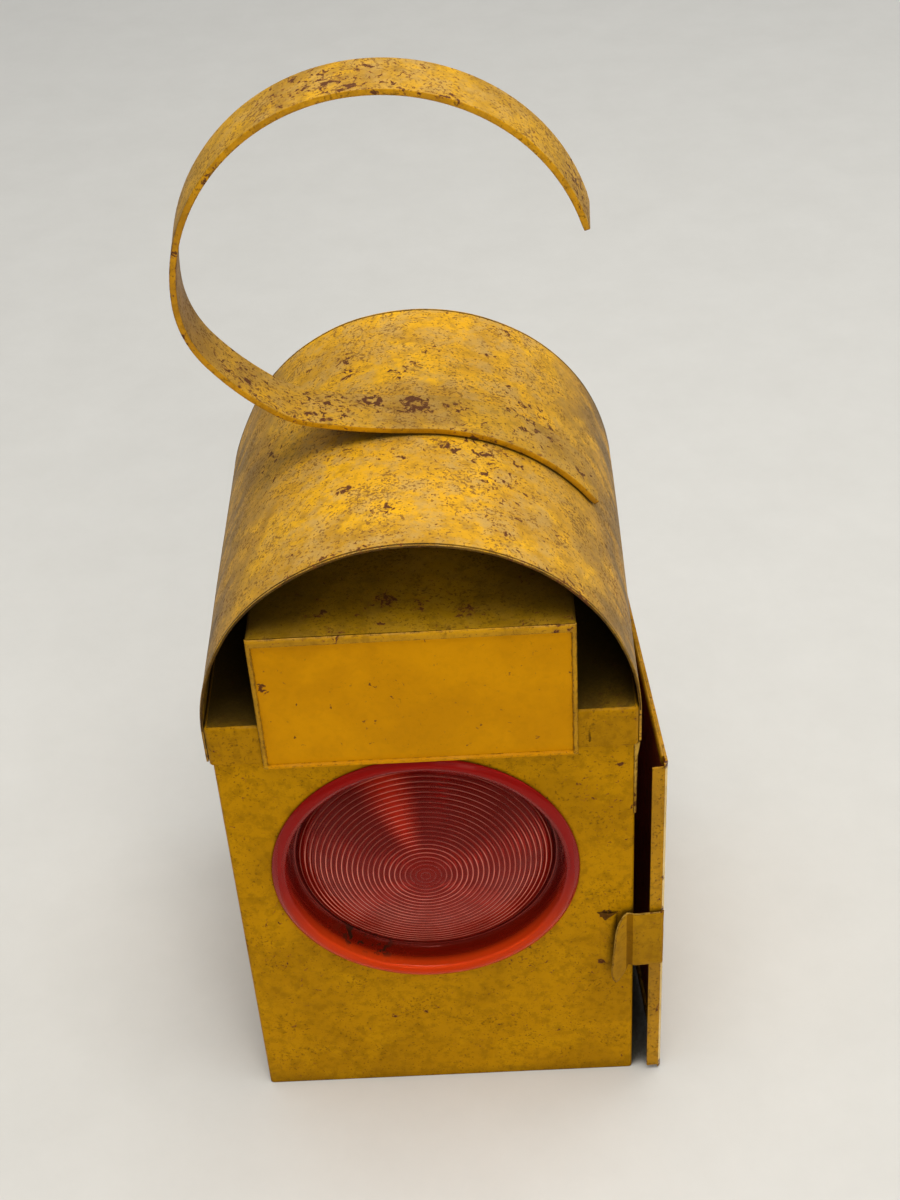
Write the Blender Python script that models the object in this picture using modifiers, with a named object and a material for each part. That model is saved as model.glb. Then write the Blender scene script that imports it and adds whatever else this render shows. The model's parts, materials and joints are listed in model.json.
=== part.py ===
"""Paraffin road-works hazard lamp: a sheet-metal body with one red lens, a barrel hood, a curled bar
hook, a sprung side door and an oil burner inside.

Frame: origin at the centre of the base, on the ground. The lens faces -Y, the door is on +X, +Z is up.
Lengths are in metres, written as millimetres times MM.
"""
from math import atan2, cos, pi, radians, sin, sqrt

import bmesh
import bpy
from mathutils import Matrix, Vector

MM = 0.001
GAP = 0.3 * MM                      # clearance between pieces that rest on each other
SHEET = 1.0 * MM                    # body, door and vent box sheet
THIN_SHEET = 0.9 * MM               # top cap and hood sheet

# Body
BODY_X = 85.0 * MM                  # half width
BODY_Y = 88.5 * MM                  # half depth
PLATE_TOP = 224.5 * MM              # upper face of the top cap
BAND_BOTTOM = 205.3 * MM            # lower edge of the cap's band
BAND_X = BODY_X + GAP + THIN_SHEET  # outside of the band
BAND_Y = BODY_Y + GAP + THIN_SHEET
DOORWAY_Y = (-80.5 * MM, 76.5 * MM)
DOORWAY_Z = (14.0 * MM, 188.0 * MM)
PAN_FLANGE = 11.0 * MM

# Vent box
VENT_X = 63.2 * MM
VENT_Y = 91.0 * MM
VENT_BOTTOM = 203.2 * MM
VENT_TOP = 268.1 * MM

# Hood and its hook
HOOD_RADIUS = BAND_X + GAP + THIN_SHEET
HOOD_AXIS_Z = 307.5 * MM - HOOD_RADIUS
HOOD_Y = (-87.5 * MM, 89.0 * MM)
HOOD_SKIRT_BOTTOM = 205.5 * MM
RIM_THICK = 2.7 * MM
RIM_WIDE = 3.6 * MM
STRAP_THICK = 2.6 * MM
STRAP_WIDE = 25.4 * MM
STRAP_START = radians(57.0)         # welded end, measured from the top of the hood
HOOK_RADIUS = 80.5 * MM             # middle line of the open loop

# Lens
LENS_X = -3.2 * MM
LENS_Z = 137.6 * MM
LENS_HOLE = 61.0 * MM
LENS_RIM = 65.3 * MM
DOME_RADIUS = 54.0 * MM             # half the chord of the domed centre
DOME_EDGE_DEPTH = 8.0 * MM
DOME_RISE = 11.0 * MM

# Door, hinge and latch, drawn closed and then swung to the rest position
HINGE_X = 90.0 * MM
HINGE_Y = 90.0 * MM
DOOR_REST = radians(3.3)
DOOR_SKIN_X = 87.4 * MM             # middle of the door's sheet
DOOR_FRONT_Y = -89.7 * MM           # middle of the front lip's sheet
DOOR_REAR_Y = 86.5 * MM
DOOR_Z = (1.0 * MM, 194.2 * MM)
DOOR_LIP = 6.5 * MM
KNUCKLE_RADIUS = 2.4 * MM
PIN_RADIUS = 1.1 * MM
LATCH_Z = (76.2 * MM, 108.8 * MM)
LATCH_TIP_Z = 67.5 * MM

# Tank and burner
TANK_RADIUS = 60.0 * MM
TANK_BOTTOM = 1.4 * MM
TANK_TOP = 84.0 * MM
BAIL_RADIUS = 64.0 * MM
BAIL_Z = 66.0 * MM
BAIL_REST = radians(28.0)           # above the horizontal, towards the door
WINDER_Z = 101.0 * MM
WINDER_Y = -5.0 * MM
CAP_X = -34.0 * MM
CAP_Y = 18.0 * MM

FINISHES = {                        # base colour, roughness, metallic
    "ochre_paint": ((0.38, 0.20, 0.008), 0.45, 0.0),
    "hood_paint": ((0.55, 0.30, 0.03), 0.50, 0.0),
    "vent_paint": ((0.50, 0.25, 0.008), 0.38, 0.0),
    "inside_paint": ((0.07, 0.02, 0.01), 0.60, 0.0),
    "red_lens": ((0.35, 0.012, 0.008), 0.20, 0.0),
    "zinc_steel": ((0.42, 0.40, 0.37), 0.40, 1.0),
    "tank_tin": ((0.45, 0.43, 0.38), 0.35, 1.0),
    "burner_brass": ((0.60, 0.40, 0.12), 0.35, 1.0),
    "wick_cotton": ((0.60, 0.52, 0.38), 0.95, 0.0),
    "seal_rubber": ((0.03, 0.03, 0.03), 0.80, 0.0),
}


# ---------------------------------------------------------------- scene helpers

def clear_scene():
    for obj in list(bpy.data.objects):
        bpy.data.objects.remove(obj)


def new_collection(name):
    collection = bpy.data.collections.new(name)
    bpy.context.scene.collection.children.link(collection)
    return collection


def make_material(name):
    colour, roughness, metallic = FINISHES[name]
    material = bpy.data.materials.new(name)
    material.use_nodes = True
    shader = material.node_tree.nodes["Principled BSDF"]
    shader.inputs["Base Color"].default_value = (*colour, 1.0)
    shader.inputs["Roughness"].default_value = roughness
    shader.inputs["Metallic"].default_value = metallic
    return material


def add_object(name, data, finish=None):
    """Links a new object: a part when it has a finish, otherwise a cutter."""
    obj = bpy.data.objects.new(name, data)
    if finish is None:
        CUTTERS.objects.link(obj)
        obj.hide_render = True
        obj.display_type = "WIRE"
    else:
        PARTS.objects.link(obj)
        obj.data.materials.append(MATERIALS[finish])
    return obj


def mesh_from(bm, name, smooth=False):
    bmesh.ops.recalc_face_normals(bm, faces=bm.faces)
    if bm.calc_volume(signed=True) < 0:
        bmesh.ops.reverse_faces(bm, faces=bm.faces)
    mesh = bpy.data.meshes.new(name)
    bm.to_mesh(mesh)
    bm.free()
    if smooth:
        mesh.shade_smooth()
        mesh.set_sharp_from_angle(angle=radians(35.0))
    return mesh


def box(name, x, y, z, finish=None):
    """A box from its (low, high) pair on each axis."""
    bm = bmesh.new()
    bmesh.ops.create_cube(bm, size=1.0)
    bmesh.ops.scale(bm, vec=(x[1] - x[0], y[1] - y[0], z[1] - z[0]), verts=bm.verts)
    bmesh.ops.translate(bm, vec=(sum(x) / 2, sum(y) / 2, sum(z) / 2), verts=bm.verts)
    return add_object(name, mesh_from(bm, name), finish)


def rod(name, radius, start, end, finish=None, sides=24):
    """A round bar between two points."""
    start, end = Vector(start), Vector(end)
    along = end - start
    bm = bmesh.new()
    bmesh.ops.create_cone(bm, cap_ends=True, segments=sides, radius1=radius, radius2=radius,
                          depth=along.length)
    turn = along.to_track_quat("Z", "Y").to_matrix().to_4x4()
    bm.transform(Matrix.Translation((start + end) / 2) @ turn)
    return add_object(name, mesh_from(bm, name, smooth=True), finish)


def turned(name, profile, at, toward, finish=None, steps=32, ring=False):
    """A profile of (radius, height) pairs, running down its outer side, turned about an axis."""
    mesh = bpy.data.meshes.new(name)
    count = len(profile)
    edges = [(i, i + 1) for i in range(count - 1)]
    if ring:
        edges.append((count - 1, 0))
    mesh.from_pydata([(radius, 0.0, height) for radius, height in profile], edges, [])
    obj = add_object(name, mesh, finish)
    obj.location = at
    obj.rotation_euler = Vector(toward).to_track_quat("Z", "Y").to_euler()
    screw = obj.modifiers.new("turn", "SCREW")
    screw.steps = steps
    screw.render_steps = steps
    screw.use_merge_vertices = True
    screw.merge_threshold = 0.00001
    screw.use_smooth_shade = False
    return obj


def curve_to_mesh(curve_object, name, finish=None, smooth=False):
    """Replaces a curve object with a welded mesh in the same place."""
    bpy.context.view_layer.update()
    graph = bpy.context.evaluated_depsgraph_get()
    mesh = bpy.data.meshes.new_from_object(curve_object.evaluated_get(graph))
    place = curve_object.matrix_world.copy()
    bpy.data.objects.remove(curve_object)
    bm = bmesh.new()
    bm.from_mesh(mesh)
    bmesh.ops.remove_doubles(bm, verts=bm.verts, dist=0.00001)
    obj = add_object(name, mesh_from(bm, name, smooth), finish)
    obj.matrix_world = place
    return obj


def flat_shape(name, loops, thickness, at, finish=None, upright=False, smooth=False):
    """A closed outline (and its holes), given thickness; upright stands it in the XZ plane."""
    curve = bpy.data.curves.new(name, "CURVE")
    curve.dimensions = "2D"
    curve.fill_mode = "BOTH"
    curve.extrude = thickness / 2
    for loop in loops:
        spline = curve.splines.new("POLY")
        spline.points.add(len(loop) - 1)
        for point, (u, v) in zip(spline.points, loop):
            point.co = (u, v, 0.0, 1.0)
        spline.use_cyclic_u = True
    obj = add_object(name + "_outline", curve)
    obj.location = at
    if upright:
        obj.rotation_euler = (pi / 2, 0.0, 0.0)
    return curve_to_mesh(obj, name, finish, smooth)


def wire(name, points, radius, finish):
    """A round wire through the points, with closed ends."""
    curve = bpy.data.curves.new(name, "CURVE")
    curve.dimensions = "3D"
    curve.bevel_depth = radius
    curve.bevel_resolution = 1
    curve.use_fill_caps = True
    spline = curve.splines.new("POLY")
    spline.points.add(len(points) - 1)
    for point, place in zip(spline.points, points):
        point.co = (*place, 1.0)
    return curve_to_mesh(add_object(name + "_path", curve), name, finish, smooth=True)


def combine(obj, operation, *others):
    for other in others:
        modifier = obj.modifiers.new(operation.lower(), "BOOLEAN")
        modifier.operation = operation
        modifier.object = other
        modifier.solver = "EXACT"


def cut(obj, *cutters):
    combine(obj, "DIFFERENCE", *cutters)


def join(obj, *pieces):
    combine(obj, "UNION", *pieces)


# ---------------------------------------------------------------- outlines

def rectangle(x, y):
    return [(x[0], y[0]), (x[1], y[0]), (x[1], y[1]), (x[0], y[1])]


def circle(radius, count=32):
    return [(radius * cos(2 * pi * i / count), radius * sin(2 * pi * i / count)) for i in range(count)]


def ribbon(path, thickness):
    """The outline of a strip of constant thickness bent along a path, with mitred corners."""
    left = []
    right = []
    for i, point in enumerate(path):
        before = Vector(path[max(i - 1, 0)])
        here = Vector(point)
        after = Vector(path[min(i + 1, len(path) - 1)])
        way_in = (here - before).normalized() if i else (after - here).normalized()
        way_out = (after - here).normalized() if i < len(path) - 1 else way_in
        mean = (way_in + way_out).normalized()
        across = Vector((-mean.y, mean.x)) * (thickness / 2) / mean.dot(way_in)
        left.append(tuple(here + across))
        right.append(tuple(here - across))
    return left + right[::-1]


def walk(start, heading, moves, step=radians(5.0)):
    """A path of arcs: each move is (radius, turn to the right); the path starts facing heading."""
    points = [start]
    x, y = start
    for radius, turn in moves:
        side = 1.0 if turn > 0 else -1.0
        centre_x = x + side * radius * sin(heading)
        centre_y = y - side * radius * cos(heading)
        count = max(2, round(abs(turn) / step))
        for i in range(1, count + 1):
            direction = heading - turn * i / count
            x = centre_x - side * radius * sin(direction)
            y = centre_y + side * radius * cos(direction)
            points.append((x, y))
        heading -= turn
    return points


def dome_profile(radius, rise, base, count=4):
    """Half a domed head: from its top on the axis out to its edge."""
    sphere = (radius ** 2 + rise ** 2) / (2 * rise)
    half_angle = atan2(radius, sphere - rise)
    angles = [half_angle * i / count for i in range(count + 1)]
    return [(sphere * sin(a), base + rise - sphere * (1 - cos(a))) for a in angles]


# ---------------------------------------------------------------- casing

def lamp_body():
    height = PLATE_TOP - THIN_SHEET - GAP
    outer = rectangle((-BODY_X, BODY_X), (-BODY_Y, BODY_Y))
    inner = rectangle((-BODY_X + SHEET, BODY_X - SHEET), (-BODY_Y + SHEET, BODY_Y - SHEET))
    body = flat_shape("lamp_body", [outer, inner], height, (0, 0, height / 2), "ochre_paint")
    hole = rod("lens_hole", LENS_HOLE, (LENS_X, -BODY_Y - 0.01, LENS_Z), (LENS_X, -BODY_Y + 0.01, LENS_Z),
               sides=48)
    doorway = box("doorway", (BODY_X - 0.01, BODY_X + 0.01), DOORWAY_Y, DOORWAY_Z)
    ramp = [(70.0 * MM, 0.5 * MM), (70.0 * MM, -0.1 * MM), (75.5 * MM, -1.2 * MM), (77.5 * MM, -1.2 * MM),
            (78.3 * MM, 0.5 * MM)]
    catch = flat_shape("catch", [ramp], 32.0 * MM, (0, -BODY_Y, 90.5 * MM))
    cut(body, hole, doorway)
    join(body, catch)


def base_pan():
    inside_x = BODY_X - SHEET - GAP
    inside_y = BODY_Y - SHEET - GAP
    pan = box("base_pan", (-inside_x, inside_x), (-inside_y, inside_y), (0.0, PAN_FLANGE), "inside_paint")
    cut(pan, box("pan_hollow", (-inside_x + SHEET, inside_x - SHEET), (-inside_y + SHEET, inside_y - SHEET),
                 (SHEET, 2 * PAN_FLANGE)))


def top_cap():
    cap = box("top_cap", (-BAND_X, BAND_X), (-BAND_Y, BAND_Y), (BAND_BOTTOM, PLATE_TOP), "ochre_paint")
    hollow_x = BAND_X - THIN_SHEET
    hollow_y = BAND_Y - THIN_SHEET
    hollow = box("cap_hollow", (-hollow_x, hollow_x), (-hollow_y, hollow_y),
                 (BAND_BOTTOM - 0.01, PLATE_TOP - THIN_SHEET))
    vent = box("cap_vent", (-50 * MM, 50 * MM), (-55 * MM, 55 * MM), (PLATE_TOP - 0.01, PLATE_TOP + 0.01))
    cut(cap, hollow, vent)


def vent_box():
    shell = box("vent_box", (-VENT_X, VENT_X), (-VENT_Y, VENT_Y), (VENT_BOTTOM, VENT_TOP), "vent_paint")
    inner_x = VENT_X - SHEET
    inner_y = VENT_Y - SHEET
    hollow = box("vent_hollow", (-inner_x, inner_x), (-inner_y, inner_y),
                 (VENT_BOTTOM - 0.01, VENT_TOP - SHEET))
    above_cap = PLATE_TOP + GAP
    side_y = inner_y - 0.1 * MM
    sides = box("vent_side_trim", (-VENT_X - 0.01, VENT_X + 0.01), (-side_y, side_y),
                (VENT_BOTTOM - 0.01, above_cap))
    cut(shell, hollow, sides)
    for index, y in enumerate((-48 * MM, 0.0, 48 * MM)):
        slot = box(f"vent_slot_{index}", (-VENT_X - 0.01, VENT_X + 0.01), (y - 17 * MM, y + 17 * MM),
                   (248 * MM, 256 * MM))
        cut(shell, slot)


def vent_baffle():
    """Draught plate: a tray stood over the opening on four legs inside the vent box."""
    z = (238.0 * MM, 239.0 * MM)
    plate = box("vent_baffle", (-45 * MM, 45 * MM), (-60 * MM, 60 * MM), z, "inside_paint")
    for index, (sx, sy) in enumerate(((-1, -1), (1, -1), (1, 1), (-1, 1))):
        leg_x = sorted((sx * 40 * MM, sx * 44 * MM))
        leg_y = sorted((sy * 58 * MM, sy * 59 * MM))
        leg = box(f"baffle_leg_{index}", leg_x, leg_y, (PLATE_TOP + GAP, 238.5 * MM))
        join(plate, leg)


def hood_arc(radius, thickness, y, sweep, steps):
    """A slice of tube about the hood's axis, its end face spun over the top; returns both end faces."""
    start = (pi - sweep) / 2
    bm = bmesh.new()
    corners = [(radius - thickness, y[0]), (radius, y[0]), (radius, y[1]), (radius - thickness, y[1])]
    first = bm.faces.new([bm.verts.new((r * cos(start), depth, HOOD_AXIS_Z + r * sin(start)))
                          for r, depth in corners])
    geometry = [first] + list(first.edges) + list(first.verts)
    result = bmesh.ops.spin(bm, geom=geometry, cent=(0, 0, HOOD_AXIS_Z), axis=(0, -1, 0), angle=sweep,
                            steps=steps, use_duplicate=False)
    last = next(item for item in result["geom_last"] if isinstance(item, bmesh.types.BMFace))
    return bm, first, last


def roof_hood():
    bm, first, last = hood_arc(HOOD_RADIUS, THIN_SHEET, HOOD_Y, pi, 56)
    drop = HOOD_SKIRT_BOTTOM - HOOD_AXIS_Z
    for face in (first, last):
        extruded = bmesh.ops.extrude_face_region(bm, geom=[face])
        corners = [item for item in extruded["geom"] if isinstance(item, bmesh.types.BMVert)]
        bmesh.ops.translate(bm, vec=(0, 0, drop), verts=corners)
        bmesh.ops.delete(bm, geom=[face], context="FACES_ONLY")
    hood = add_object("roof_hood", mesh_from(bm, "roof_hood", smooth=True), "hood_paint")
    rim_radius = HOOD_RADIUS + 0.25 * MM
    rims = (("rim_front", HOOD_Y[0] - 0.2 * MM, 1), ("rim_rear", HOOD_Y[1] + 0.2 * MM, -1))
    for name, edge, inward in rims:
        y = sorted((edge, edge + inward * RIM_WIDE))
        ring, _, _ = hood_arc(rim_radius, RIM_THICK, y, radians(168.0), 48)
        join(hood, add_object(name, mesh_from(ring, name)))


def strap_path():
    """Middle line of the hook bar: along the hood, off its top, and up round the open loop."""
    radius = HOOD_RADIUS + GAP + STRAP_THICK / 2
    start = (radius * sin(STRAP_START), HOOD_AXIS_Z + radius * cos(STRAP_START))
    moves = [
        (radius, radians(-54.5)),       # over the hood to just short of its top
        (250.0 * MM, radians(9.5)),     # lifts away from the hood
        (41.0 * MM, radians(25.5)),     # bends up
        (115.0 * MM, radians(15.5)),    # flatter stretch at the lower left
        (45.0 * MM, radians(37.0)),
        (HOOK_RADIUS, radians(164.5)),  # open loop, down to the tip
    ]
    return walk(start, pi - STRAP_START, moves)


def handle_strap():
    flat_shape("handle_strap", [ribbon(strap_path(), STRAP_THICK)], STRAP_WIDE, (0, 0, 0), "hood_paint",
               upright=True, smooth=True)


# ---------------------------------------------------------------- lens

def lens_front_profile():
    """Front surface as (radius, height toward the viewer), from the axis out to the rim's back."""
    sphere = (DOME_RADIUS ** 2 + DOME_RISE ** 2) / (2 * DOME_RISE)
    count = 8
    dome = []
    for i in range(count + 1):
        radius = DOME_RADIUS * i / count
        sag = sphere - sqrt(sphere ** 2 - radius ** 2)
        dome.append((radius, DOME_RISE - DOME_EDGE_DEPTH - sag))
    wall = [(56.0 * MM, -9.0 * MM), (57.6 * MM, -8.0 * MM), (60.0 * MM, 2.3 * MM)]
    bead = [(61.2 * MM, 2.9 * MM), (63.4 * MM, 2.7 * MM), (LENS_RIM, 1.5 * MM), (LENS_RIM - 0.2 * MM, GAP)]
    return dome + wall + bead


def front_lens():
    back = [(LENS_HOLE - 0.4 * MM, GAP), (LENS_HOLE - 0.4 * MM, -9.6 * MM), (56.5 * MM, -12.0 * MM),
            (51.0 * MM, -10.6 * MM), (26.0 * MM, -2.6 * MM), (0.0, 0.0)]
    turned("front_lens", lens_front_profile() + back, (LENS_X, -BODY_Y, LENS_Z), (0, -1, 0), "red_lens",
           steps=48)


def lens_fixings():
    behind = -SHEET - GAP
    seal = [(67.0 * MM, behind), (67.0 * MM, behind - 1.5 * MM), (60.9 * MM, behind - 1.5 * MM),
            (60.9 * MM, behind)]
    turned("lens_seal", seal, (LENS_X, -BODY_Y, LENS_Z), (0, -1, 0), "seal_rubber", ring=True)
    top = behind - 1.8 * MM
    ring = [(70.0 * MM, top), (70.0 * MM, top - SHEET), (62.2 * MM, top - SHEET),
            (61.6 * MM, top - 4.0 * MM), (60.9 * MM, top - 4.0 * MM), (60.9 * MM, top)]
    turned("lens_ring", ring, (LENS_X, -BODY_Y, LENS_Z), (0, -1, 0), "zinc_steel", ring=True)


# ---------------------------------------------------------------- door

def swing_with_door(piece):
    """Parents a piece drawn with the door closed, and the shapes that cut it, to the door's axis."""
    cutters = [modifier.object for modifier in piece.modifiers if modifier.type == "BOOLEAN"]
    for obj in [piece] + cutters:
        obj.parent = DOOR_AXIS
        obj.matrix_parent_inverse = Matrix.Translation((-HINGE_X, -HINGE_Y, 0.0))


def door_panel():
    lip_end = DOOR_SKIN_X + SHEET / 2 - DOOR_LIP
    path = [(lip_end, DOOR_FRONT_Y), (DOOR_SKIN_X, DOOR_FRONT_Y), (DOOR_SKIN_X, DOOR_REAR_Y)]
    height = DOOR_Z[1] - DOOR_Z[0]
    door = flat_shape("door_panel", [ribbon(path, SHEET)], height, (0, 0, sum(DOOR_Z) / 2), "ochre_paint")
    hem_x = (DOOR_SKIN_X - 1.5 * MM, DOOR_SKIN_X - 0.2 * MM)
    hem_y = (-84.0 * MM, 84.0 * MM)
    join(door, box("door_hem_top", hem_x, hem_y, (DOOR_Z[1] - 5.5 * MM, DOOR_Z[1] - 0.3 * MM)))
    join(door, box("door_hem_bottom", hem_x, hem_y, (DOOR_Z[0] + 0.3 * MM, DOOR_Z[0] + 5.5 * MM)))
    notch_x = (lip_end - 0.01, DOOR_SKIN_X - 1.2 * MM)
    notch_y = (DOOR_FRONT_Y - 0.01, DOOR_FRONT_Y + 0.002)
    cut(door, box("door_notch_top", notch_x, notch_y, (DOOR_Z[1] - 2.0 * MM, DOOR_Z[1] + 0.01)))
    cut(door, box("door_notch_bottom", notch_x, notch_y, (DOOR_Z[0] - 0.01, DOOR_Z[0] + 1.5 * MM)))
    swing_with_door(door)


def latch_spring():
    """Spring strip welded to the door's front lip: flat, V, and a leaf-shaped tab that flares outward."""
    flat_y = DOOR_FRONT_Y - SHEET - GAP
    path = [(DOOR_SKIN_X + SHEET / 2, flat_y), (75.2 * MM, flat_y), (71.9 * MM, flat_y + 1.1 * MM),
            (70.9 * MM, flat_y + 1.1 * MM), (64.1 * MM, flat_y - 2.7 * MM)]
    height = LATCH_Z[1] - LATCH_TIP_Z
    clip = flat_shape("latch_spring", [ribbon(path, SHEET)], height, (0, 0, LATCH_TIP_Z + height / 2),
                      "ochre_paint")
    cut(clip, box("latch_trim_strip", (74.3 * MM, DOOR_SKIN_X + 0.01), (flat_y - 0.02, flat_y + 0.02),
                  (LATCH_TIP_Z - 0.01, LATCH_Z[0])))
    trims = {
        "latch_trim_tab": [(74.5, 60.0), (74.5, 76.2), (72.4, 76.2), (70.9, 73.8), (69.0, 70.2),
                           (66.8, 67.5), (66.8, 60.0)],
        "latch_trim_edge": [(60.0, 60.0), (65.5, 60.0), (65.4, 68.0), (64.4, 71.0), (64.2, 75.0),
                            (65.2, 82.0), (65.7, 89.0), (65.6, 96.0), (66.4, 102.0), (68.0, 106.5),
                            (70.6, 110.0), (60.0, 110.0)],
    }
    for name, outline in trims.items():
        loop = [(x * MM, z * MM) for x, z in outline]
        cut(clip, flat_shape(name, [loop], 0.02, (0, flat_y, 0), upright=True))
    swing_with_door(clip)


# ---------------------------------------------------------------- hinge

def knuckle_spans():
    """Five knuckles up the door, bottom to top; the even ones belong to the body."""
    low, high, space = 6.0 * MM, 186.0 * MM, 0.4 * MM
    pitch = (high - low + space) / 5
    return [(low + i * pitch, low + (i + 1) * pitch - space) for i in range(5)]


def hinge_leaf(name, spans, plate_x, plate_y, tab_x, tab_y, finish):
    """A plate with its knuckles, bored for the pin. The plate stops short of the other leaf's knuckles."""
    low, high = knuckle_spans()[0][0], knuckle_spans()[-1][1]
    leaf = box(name, plate_x, plate_y, (low, high), finish)
    for index, (bottom, top) in enumerate(spans):
        join(leaf, box(f"{name}_tab_{index}", tab_x, tab_y, (bottom + 0.2 * MM, top - 0.2 * MM)))
        join(leaf, rod(f"{name}_knuckle_{index}", KNUCKLE_RADIUS, (HINGE_X, HINGE_Y, bottom),
                       (HINGE_X, HINGE_Y, top), sides=16))
    cut(leaf, rod(f"{name}_bore", PIN_RADIUS + 0.3 * MM, (HINGE_X, HINGE_Y, low - 0.01),
                  (HINGE_X, HINGE_Y, high + 0.01), sides=16))
    return leaf


def hinge():
    spans = knuckle_spans()
    body_y = (BODY_Y + GAP, BODY_Y + GAP + SHEET)
    tab_y = (body_y[0] + 0.1 * MM, body_y[1] - 0.1 * MM)
    hinge_leaf("hinge_body_leaf", spans[0::2], (70 * MM, 87 * MM), body_y, (86 * MM, 88.2 * MM), tab_y,
               "zinc_steel")
    door_x = (DOOR_SKIN_X + SHEET / 2 + GAP, DOOR_SKIN_X + 1.5 * SHEET + GAP)
    tab_x = (door_x[0] + 0.1 * MM, door_x[1] - 0.1 * MM)
    leaf = hinge_leaf("hinge_door_leaf", spans[1::2], door_x, (68 * MM, 87 * MM), tab_x,
                      (86 * MM, 88.2 * MM), "zinc_steel")
    swing_with_door(leaf)
    top = spans[-1][1] + GAP
    bottom = spans[0][0] - GAP
    head = dome_profile(2.0 * MM, 1.2 * MM, top, count=3)
    foot = bottom - 0.8 * MM
    profile = head + [(PIN_RADIUS, top), (PIN_RADIUS, bottom), (1.8 * MM, bottom), (1.6 * MM, foot),
                      (0.0, foot)]
    turned("hinge_pin", profile, (HINGE_X, HINGE_Y, 0), (0, 0, 1), "zinc_steel", steps=12)


def hinge_rivets():
    """Pan-head rivets stand on the leaves; the sheet behind them is not pierced."""
    head = dome_profile(2.4 * MM, 1.3 * MM, 0.0) + [(0.0, 0.0)]
    body_y = BODY_Y + 2 * GAP + SHEET
    door_x = DOOR_SKIN_X + 1.5 * SHEET + 2 * GAP
    for place, z in (("lower", 42 * MM), ("upper", 150 * MM)):
        turned(f"hinge_body_rivet_{place}", head, (77 * MM, body_y, z), (0, 1, 0), "zinc_steel", steps=12)
        rivet = turned(f"hinge_door_rivet_{place}", head, (door_x, 76 * MM, z), (1, 0, 0), "zinc_steel",
                       steps=12)
        swing_with_door(rivet)


# ---------------------------------------------------------------- oil tank

def fount_tank():
    """Hollow tin tank, open at its neck, with a filler boss and two ears for the bail."""
    wall = 0.8 * MM
    outside = [(17.0 * MM, TANK_TOP + 5 * MM), (17.0 * MM, TANK_TOP), (40.0 * MM, TANK_TOP - 1.5 * MM),
               (TANK_RADIUS - 6 * MM, TANK_TOP - 6 * MM), (TANK_RADIUS, TANK_TOP - 14 * MM),
               (TANK_RADIUS, TANK_BOTTOM + 5 * MM), (TANK_RADIUS + 1.2 * MM, TANK_BOTTOM + 4 * MM),
               (TANK_RADIUS + 1.2 * MM, TANK_BOTTOM), (0.0, TANK_BOTTOM)]
    inside = [(0.0, TANK_BOTTOM + wall), (TANK_RADIUS - wall, TANK_BOTTOM + wall),
              (TANK_RADIUS - wall, TANK_TOP - 14.3 * MM), (TANK_RADIUS - 6.5 * MM, TANK_TOP - 6.8 * MM),
              (40.0 * MM, TANK_TOP - 1.5 * MM - wall), (16.0 * MM, TANK_TOP - wall),
              (16.0 * MM, TANK_TOP + 5 * MM)]
    tank = turned("fount_tank", outside + inside, (0, 0, 0), (0, 0, 1), "tank_tin", steps=40, ring=True)
    boss = rod("filler_boss", 8.0 * MM, (CAP_X, CAP_Y, TANK_TOP - 4 * MM),
               (CAP_X, CAP_Y, TANK_TOP + 1 * MM))
    join(tank, boss)
    cut(tank, rod("filler_hole", 5.0 * MM, (CAP_X, CAP_Y, TANK_TOP - 8 * MM),
                  (CAP_X, CAP_Y, TANK_TOP + 8 * MM), sides=16))
    for index, side in enumerate((-1, 1)):
        y = sorted((side * (TANK_RADIUS - 0.5 * MM), side * (TANK_RADIUS + 2.0 * MM)))
        join(tank, box(f"bail_ear_{index}", (-4 * MM, 4 * MM), y, (BAIL_Z - 4 * MM, BAIL_Z + 4 * MM)))
        cut(tank, rod(f"bail_eye_{index}", 1.6 * MM, (0, side * (TANK_RADIUS - 4 * MM), BAIL_Z),
                      (0, side * (TANK_RADIUS + 6 * MM), BAIL_Z), sides=16))


def fount_bail():
    """Wire handle: its ends hook into the tank's ears; rest leans towards the door."""
    sweep = [pi * i / 20 for i in range(21)]
    arc = [(BAIL_RADIUS * sin(a), -BAIL_RADIUS * cos(a)) for a in sweep]
    hooked = [(0.0, -TANK_RADIUS - 0.6 * MM)] + arc + [(0.0, TANK_RADIUS + 0.6 * MM)]
    points = [(out * cos(BAIL_REST), y, BAIL_Z + out * sin(BAIL_REST)) for out, y in hooked]
    wire("fount_bail", points, 1.1 * MM, "zinc_steel")


def filler_cap():
    base = TANK_TOP + 1 * MM + GAP
    ring = [(9.0 * MM, base + 1.0 * MM), (9.0 * MM, base), (5.6 * MM, base), (5.6 * MM, base + 1.0 * MM)]
    turned("filler_seal", ring, (CAP_X, CAP_Y, 0), (0, 0, 1), "seal_rubber", steps=20, ring=True)
    low = base + 1.0 * MM + GAP
    profile = [(0.0, low + 7.5 * MM), (9.5 * MM, low + 7.5 * MM), (10.5 * MM, low + 6.5 * MM),
               (10.5 * MM, low), (4.4 * MM, low), (4.4 * MM, base - 6 * MM), (0.0, base - 6 * MM)]
    turned("fount_cap", profile, (CAP_X, CAP_Y, 0), (0, 0, 1), "burner_brass", steps=20)


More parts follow.
